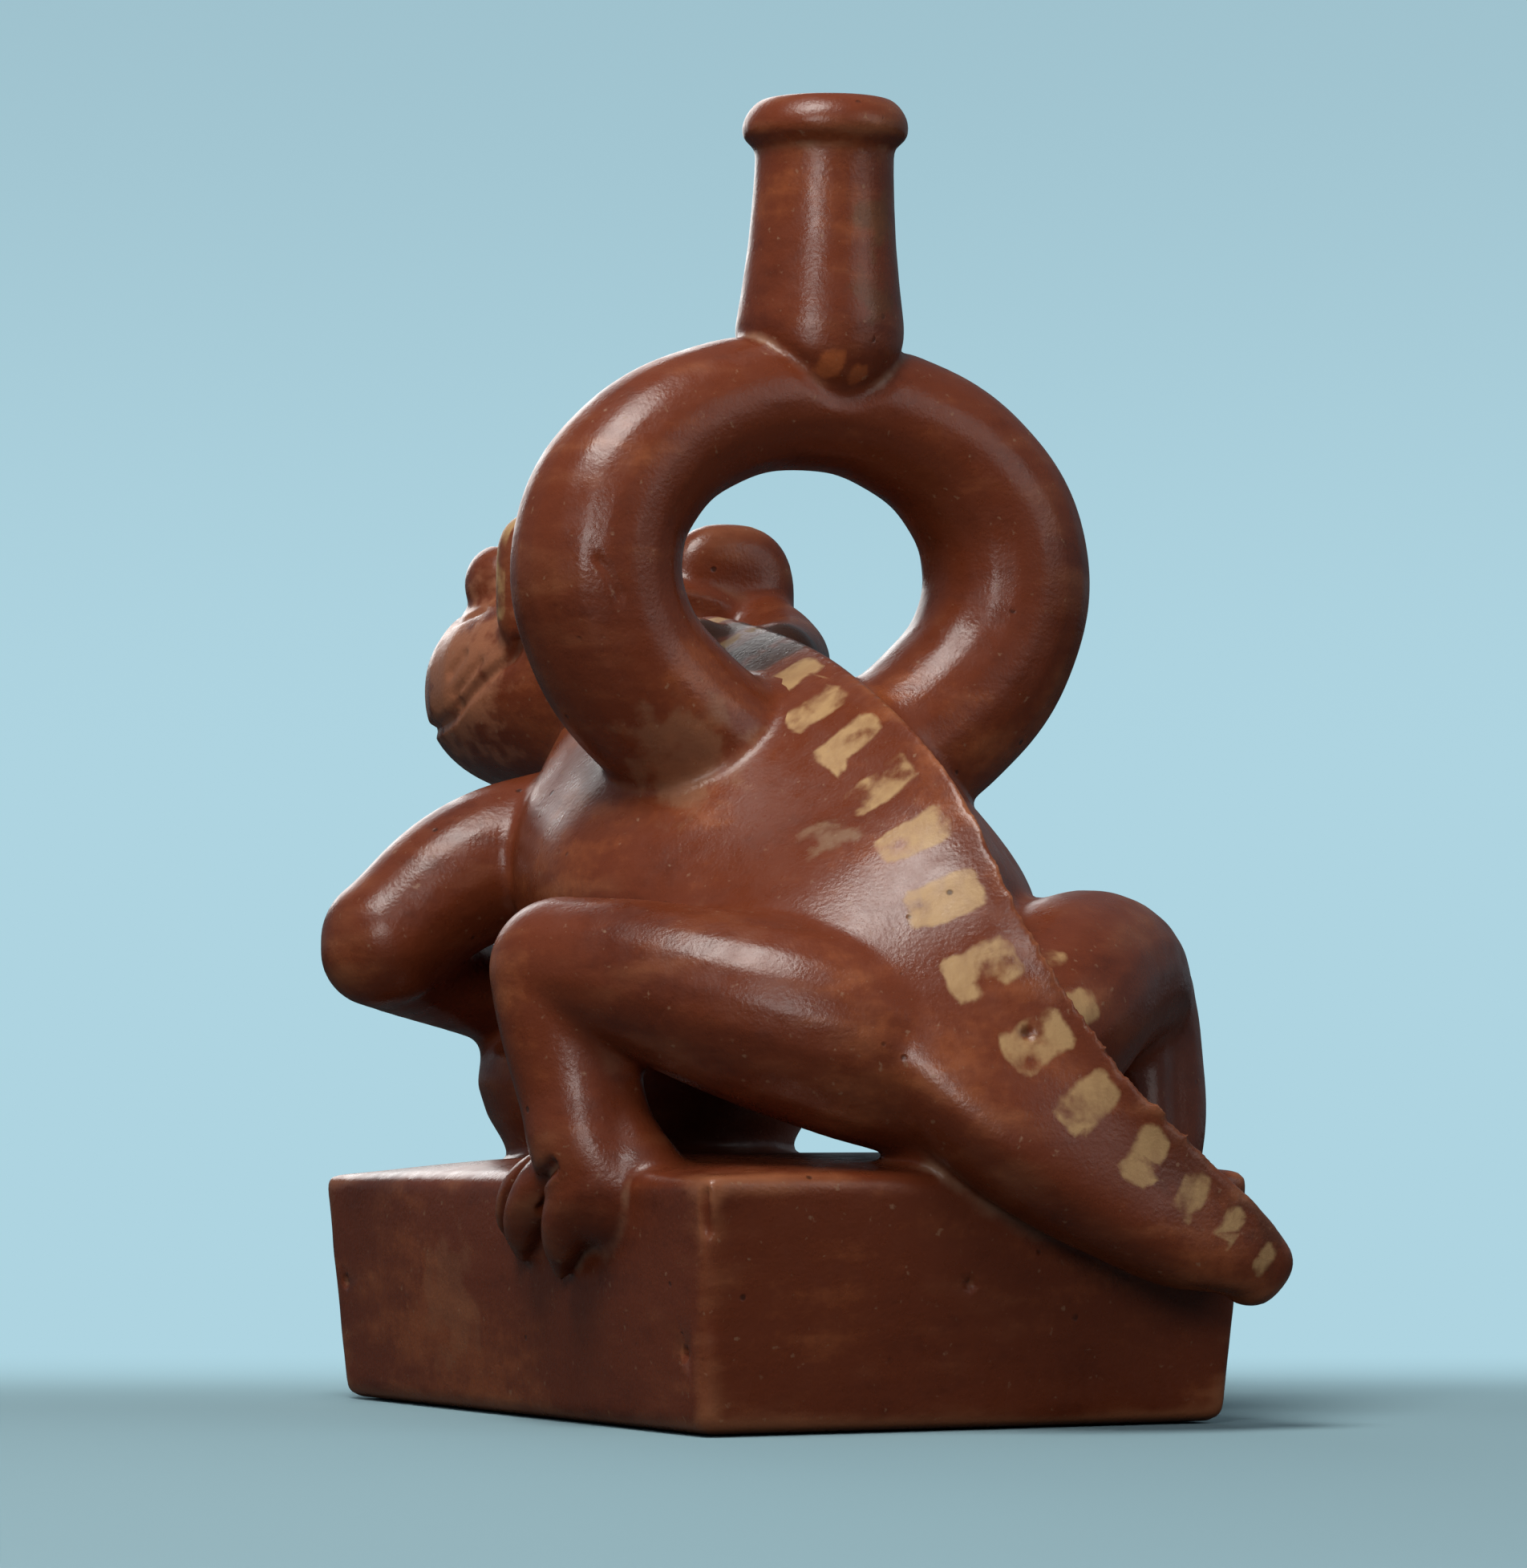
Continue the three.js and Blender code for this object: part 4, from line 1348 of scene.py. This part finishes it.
@dataclass(frozen=True)
class Slip:
    """The burnished red slip, the cream and dark paint over it, and what time has done to them."""

    deep: Colour = shade(88, 38, 21)
    red: Colour = shade(110, 51, 28)
    orange: Colour = shade(142, 76, 43)
    worn: Colour = shade(176, 118, 82)
    dust: Colour = shade(164, 132, 104)
    # painted shade: the dark colour laid into the pinholes
    pinhole_shade: Colour = shade(48, 26, 18)
    cream: Colour = shade(184, 147, 100)
    umber: Colour = shade(62, 42, 30)
    smudges: tuple[Smudge, ...] = (
        Smudge((1.6, 25.9, 190), 3.6, shade(176, 96, 52), 0.6),
        Smudge((-3.6, 26.5, 188), 2.8, shade(176, 96, 52), 0.5),
        Smudge((31, -72, 138), 20.0, shade(178, 120, 88), 0.55),
        Smudge((30, -92, 130), 14.0, shade(166, 106, 76), 0.45),
        Smudge((30, 24, 118), 12.0, shade(150, 112, 84), 0.4),
        Smudge((21, 58, 108), 9.0, shade(150, 122, 96), 0.55),
        Smudge((-9, 25, 216), 7.0, shade(96, 78, 46), 0.35),
        Smudge((-7, 25, 202), 6.0, shade(92, 74, 44), 0.3),
        Smudge((52, -25, 20), 14.0, shade(150, 104, 74), 0.25),
        Smudge((-50, 92, 40), 13.0, shade(54, 34, 26), 0.45),
        Smudge((-30, 95, 46), 10.0, shade(60, 36, 26), 0.3),
    )

    def build(self) -> bpy.types.Material:
        """Wire the clay's material from its effects.

        Returns:
            The material.
        """
        material = bpy.data.materials.new("burnished_slip")
        material.use_nodes = True
        wires = Wires(material.node_tree)
        shader = material.node_tree.nodes["Principled BSDF"]
        place = wires.node("TexCoord").outputs["Object"]
        hollow = wires.attribute("hollow")
        tone = wires.group(self._tone(), Place=place, Hollow=hollow)
        colour = tone["Colour"]
        spot = self._spot()
        for smudge in self.smudges:
            at = tuple(value * MM for value in smudge.at)
            mask = wires.group(spot, Place=place, Middle=at, Size=smudge.size * MM)["Mask"]
            colour = wires.mix(wires.math("MULTIPLY", mask, smudge.strength), colour, smudge.colour)
        cream, dark, rim = (wires.attribute(name) for name in ("cream", "dark", "rim"))
        paint = wires.group(self._paint(), Place=place, Cream=cream, Dark=dark, Rim=rim)
        colour = wires.mix(paint["Dark Mask"], colour, self.umber)
        colour = wires.mix(paint["Cream Mask"], colour, self.cream)
        age = wires.group(self._age(), Place=place, Hollow=hollow)
        colour = wires.mix(age["Dust Mask"], colour, self.dust)
        # painted shade darkens the pinholes
        colour = wires.mix(age["Pit Mask"], colour, self.pinhole_shade)
        wires.plug(shader.inputs["Base Color"], colour)
        matt = wires.math("MAXIMUM", age["Dust Mask"], wires.math("MULTIPLY", paint["Cream Mask"], 0.8))
        rough = wires.math("ADD", tone["Roughness"], wires.math("MULTIPLY", matt, 0.28))
        wires.plug(shader.inputs["Roughness"], rough)
        shader.inputs["Specular IOR Level"].default_value = 0.42
        bump = wires.node("Bump")
        bump.inputs["Strength"].default_value = 0.3
        bump.inputs["Distance"].default_value = 0.00025
        wires.plug(bump.inputs["Height"], age["Height"])
        wires.plug(shader.inputs["Normal"], bump.outputs["Normal"])
        return material

    def _tone(self) -> Effect:
        """Wire the uneven red of the fired slip: paler where it is rubbed, deeper where it is thick."""
        effect = Effect(
            "slip_tone", {"Place": "Vector", "Hollow": "Float"}, {"Colour": "Color", "Roughness": "Float"}
        )
        place = effect.given["Place"]
        cloud = effect.noise(place, scale=26, detail=3)
        streak = effect.noise(place, scale=60, detail=5, stretch=(1, 1, 3.2))
        grain = effect.noise(place, scale=520, detail=3)
        level = effect.math("ADD", effect.math("MULTIPLY", cloud, 0.55), effect.math("MULTIPLY", streak, 0.3))
        level = effect.math("ADD", level, effect.math("MULTIPLY", grain, 0.15))
        colour = effect.mix(effect.step(level, 0.3, 0.5), self.deep, self.red)
        colour = effect.mix(effect.step(level, 0.5, 0.68), colour, self.orange)
        edge = effect.math("MULTIPLY", effect.given["Hollow"], -1.0)
        rubbed = effect.math("ADD", edge, effect.spread(streak, 1.6))
        colour = effect.mix(effect.math("MULTIPLY", effect.step(rubbed, 0.2, 1.1), 0.4), colour, self.worn)
        effect.plug(effect.result["Colour"], colour)
        rough = effect.math("MULTIPLY_ADD", effect.noise(place, scale=240, detail=6), 0.36, 0.12)
        effect.plug(effect.result["Roughness"], rough)
        return effect

    def _spot(self) -> Effect:
        """Wire a ragged round spot."""
        effect = Effect("spot", {"Place": "Vector", "Middle": "Vector", "Size": "Float"}, {"Mask": "Float"})
        far = effect.node("VectorMath", operation="DISTANCE")
        effect.plug(far.inputs[0], effect.given["Place"])
        effect.plug(far.inputs[1], effect.given["Middle"])
        share = effect.math("DIVIDE", far.outputs["Value"], effect.given["Size"])
        ragged = effect.spread(effect.noise(effect.given["Place"], scale=190, detail=5), 2.4)
        effect.plug(effect.result["Mask"], effect.step(effect.math("ADD", share, ragged), 1.0, 0.45))
        return effect

    def _paint(self) -> Effect:
        """Wire the masks of the cream patches and dark bars, brushy at the edges and worn in places."""
        effect = Effect(
            "old_paint", {"Place": "Vector", "Cream": "Float", "Dark": "Float", "Rim": "Float"},
            {"Cream Mask": "Float", "Dark Mask": "Float"},
        )
        place = effect.given["Place"]
        ragged = effect.spread(effect.noise(place, scale=240, detail=5), 2.8)
        worn = effect.step(effect.noise(place, scale=85, detail=6), 0.36, 0.5)
        brushed = effect.noise(place, scale=420, detail=4, stretch=(1, 1, 0.35))
        thin = effect.math("MULTIPLY_ADD", brushed, 0.9, 0.38)
        cream = effect.step(effect.math("ADD", effect.given["Cream"], ragged), 0.5, -0.6)
        near_rim = effect.math("MULTIPLY_ADD", ragged, 0.12, effect.given["Rim"])
        cream = effect.math("MAXIMUM", cream, effect.step(near_rim, 0.45, 0.75))
        cream = effect.math("MULTIPLY", cream, effect.math("MULTIPLY", worn, thin))
        effect.plug(effect.result["Cream Mask"], effect.math("MINIMUM", cream, 0.92))
        dark = effect.step(effect.math("ADD", effect.given["Dark"], ragged), 0.9, -0.9)
        effect.plug(effect.result["Dark Mask"], effect.math("MULTIPLY", dark, 0.82))
        return effect

    def _age(self) -> Effect:
        """Wire the dust in hollows, the pinholes' painted shade and the burnished skin's fine unevenness."""
        effect = Effect(
            "clay_age", {"Place": "Vector", "Hollow": "Float"},
            {"Dust Mask": "Float", "Pit Mask": "Float", "Height": "Float"},
        )
        place = effect.given["Place"]
        cloud = effect.noise(place, scale=130, detail=6)
        deep = effect.math("ADD", effect.given["Hollow"], effect.spread(cloud, 1.0))
        crease = effect.math("MULTIPLY", effect.step(deep, 0.25, 0.95), 0.55)
        grains = effect.noise(place, scale=640, detail=3)
        speck = effect.math("MULTIPLY", effect.step(grains, 0.66, 0.76), 0.35)
        effect.plug(effect.result["Dust Mask"], effect.math("MAXIMUM", crease, speck))
        cells = effect.node("TexVoronoi", feature="F1")
        effect.plug(cells.inputs["Vector"], place)
        cells.inputs["Scale"].default_value = 210
        chosen = effect.step(effect.noise(place, scale=95, detail=2), 0.6, 0.66)
        # the pinhole mask darkens the colour as painted shade and presses the bump down
        pit = effect.math("MULTIPLY", effect.step(cells.outputs["Distance"], 0.17, 0.08), chosen)
        effect.plug(effect.result["Pit Mask"], effect.math("MULTIPLY", pit, 0.75))
        fine = effect.noise(place, scale=1300, detail=4)
        broad = effect.noise(place, scale=110, detail=3, stretch=(1, 1, 2.4))
        height = effect.math("ADD", fine, broad)
        effect.plug(effect.result["Height"], effect.math("MULTIPLY_ADD", pit, -1.5, height))
        return effect


# ---- the studio ----------------------------------------------------------------------------------
@dataclass(frozen=True)
class Lamp:
    """A round soft light: its place and size in millimetres, its power in watts and its colour."""

    name: str
    at: Point
    size: float
    power: float
    colour: tuple[float, float, float]


@dataclass
class Studio:
    """A pale floor, soft light from above and the camera."""

    camera_at: Point = (612.3, 1197.9, 70.0)
    camera_way: Point = (-0.454, -0.891, 0.0)
    camera_tilt: float = 1.8987
    lens: float = 168.03
    sensor: float = 36.0
    lamps: tuple[Lamp, ...] = (
        Lamp("overhead", (330, 220, 880), 460, 6.6, (1, 0.97, 0.92)),
        Lamp("front_fill", (760, 950, 480), 420, 3.9, (1, 0.97, 0.94)),
        Lamp("side_fill", (-700, 900, 600), 700, 1.4, (1, 0.98, 0.96)),
        Lamp("far_fill", (-250, -1300, 650), 800, 5.0, (1, 0.98, 0.96)),
    )
    near_floor: Colour = shade(142, 172, 182)
    far_floor: Colour = shade(170, 207, 219)
    bounce: Colour = shade(70, 74, 76)
    backdrop: Colour = shade(174, 212, 225)
    backdrop_top: Colour = shade(158, 193, 205)
    gloom: Colour = shade(96, 104, 110)
    floor_radius: float = 6000.0

    def build(self) -> None:
        """Make the camera, the lights, the floor and the surroundings."""
        self._camera()
        for lamp in self.lamps:
            self._hang(lamp)
        self._floor()
        self._world()

    def _camera(self) -> None:
        """Place the camera behind the animal's left side, near the floor."""
        deselect()
        bpy.ops.object.camera_add(location=metres(self.camera_at))
        camera = named("camera")
        camera.data.lens = self.lens
        camera.data.sensor_width = self.sensor
        camera.data.clip_start = 0.05
        camera.data.clip_end = 50
        way = Vector(self.camera_way).normalized()
        tilt = math.radians(self.camera_tilt)
        look = way * math.cos(tilt) + Vector((0, 0, math.sin(tilt)))
        camera.rotation_mode = "QUATERNION"
        camera.rotation_quaternion = look.to_track_quat("-Z", "Y")
        bpy.context.scene.camera = camera

    def _hang(self, lamp: Lamp) -> None:
        """Hang one light so that it faces the vessel."""
        deselect()
        bpy.ops.object.light_add(type="AREA", location=metres(lamp.at))
        light = named(lamp.name)
        light.data.shape = "DISK"
        light.data.size = lamp.size * MM
        light.data.energy = lamp.power
        light.data.color = lamp.colour
        light.rotation_mode = "QUATERNION"
        light.rotation_quaternion = (metres((0, 0, 90)) - metres(lamp.at)).to_track_quat("-Z", "Y")

    def _floor(self) -> None:
        """Lay a wide round floor that fades into the backdrop behind the vessel."""
        deselect()
        bpy.ops.mesh.primitive_circle_add(
            vertices=96, radius=self.floor_radius * MM, fill_type="NGON", location=(0, 0, -0.0004)
        )
        floor = named("floor")
        material = bpy.data.materials.new("pale_floor")
        material.use_nodes = True
        wires = Wires(material.node_tree)
        shader = material.node_tree.nodes["Principled BSDF"]
        place = wires.node("TexCoord").outputs["Object"]
        seen = wires.node("LightPath").outputs["Is Camera Ray"]
        behind = wires.node("VectorMath", operation="DOT_PRODUCT")
        wires.plug(behind.inputs[0], place)
        behind.inputs[1].default_value = self.camera_way
        away = wires.node("VectorMath", operation="LENGTH")
        wires.plug(away.inputs[0], place)
        faded = wires.step(behind.outputs["Value"], 0.0, 0.2)
        beyond = wires.step(behind.outputs["Value"], 0.05, 0.24)
        gone = wires.math("MAXIMUM", wires.step(away.outputs["Value"], 0.35, 0.9), beyond)
        gone = wires.math("MULTIPLY", gone, seen)
        tone = wires.mix(faded, self.near_floor, self.far_floor)
        tone = wires.mix(seen, self.bounce, tone)
        wires.plug(shader.inputs["Base Color"], wires.mix(gone, tone, (0, 0, 0, 1)))
        wires.plug(shader.inputs["Emission Color"], wires.mix(gone, (0, 0, 0, 1), self.backdrop))
        shader.inputs["Emission Strength"].default_value = 1.0
        shader.inputs["Roughness"].default_value = 0.75
        shader.inputs["Specular IOR Level"].default_value = 0.0
        floor.data.materials.append(material)

    def _world(self) -> None:
        """Show a pale blue backdrop to the camera, and light the vessel only faintly with it."""
        world = bpy.data.worlds.new("surroundings")
        world.use_nodes = True
        wires = Wires(world.node_tree)
        back = world.node_tree.nodes["Background"]
        way = wires.node("SeparateXYZ")
        wires.plug(way.inputs[0], wires.node("TexCoord").outputs["Generated"])
        seen = wires.node("LightPath").outputs["Is Camera Ray"]
        sky = wires.mix(wires.step(way.outputs["Z"], 0.03, 0.16), self.backdrop, self.backdrop_top)
        wires.plug(back.inputs["Color"], wires.mix(seen, self.gloom, sky))
        back.inputs["Strength"].default_value = 1.0
        bpy.context.scene.world = world
        bpy.context.scene.view_settings.view_transform = "Standard"


def main() -> None:
    """Build the vessel and the studio, and report what was made."""
    logging.basicConfig(level=logging.INFO, format="%(name)s: %(message)s")
    vessel = Vessel().build()
    vessel.data.materials.clear()
    vessel.data.materials.append(Slip().build())
    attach(vessel, BODY)
    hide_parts(NODE)
    triangles = sum(len(face.vertices) - 2 for face in vessel.data.polygons)
    LOG.info("Vessel: %d triangles", triangles)
    Studio().build()
    LOG.info("Studio: %d lamps", len(Studio.lamps))


if __name__ == "__main__":
    main()
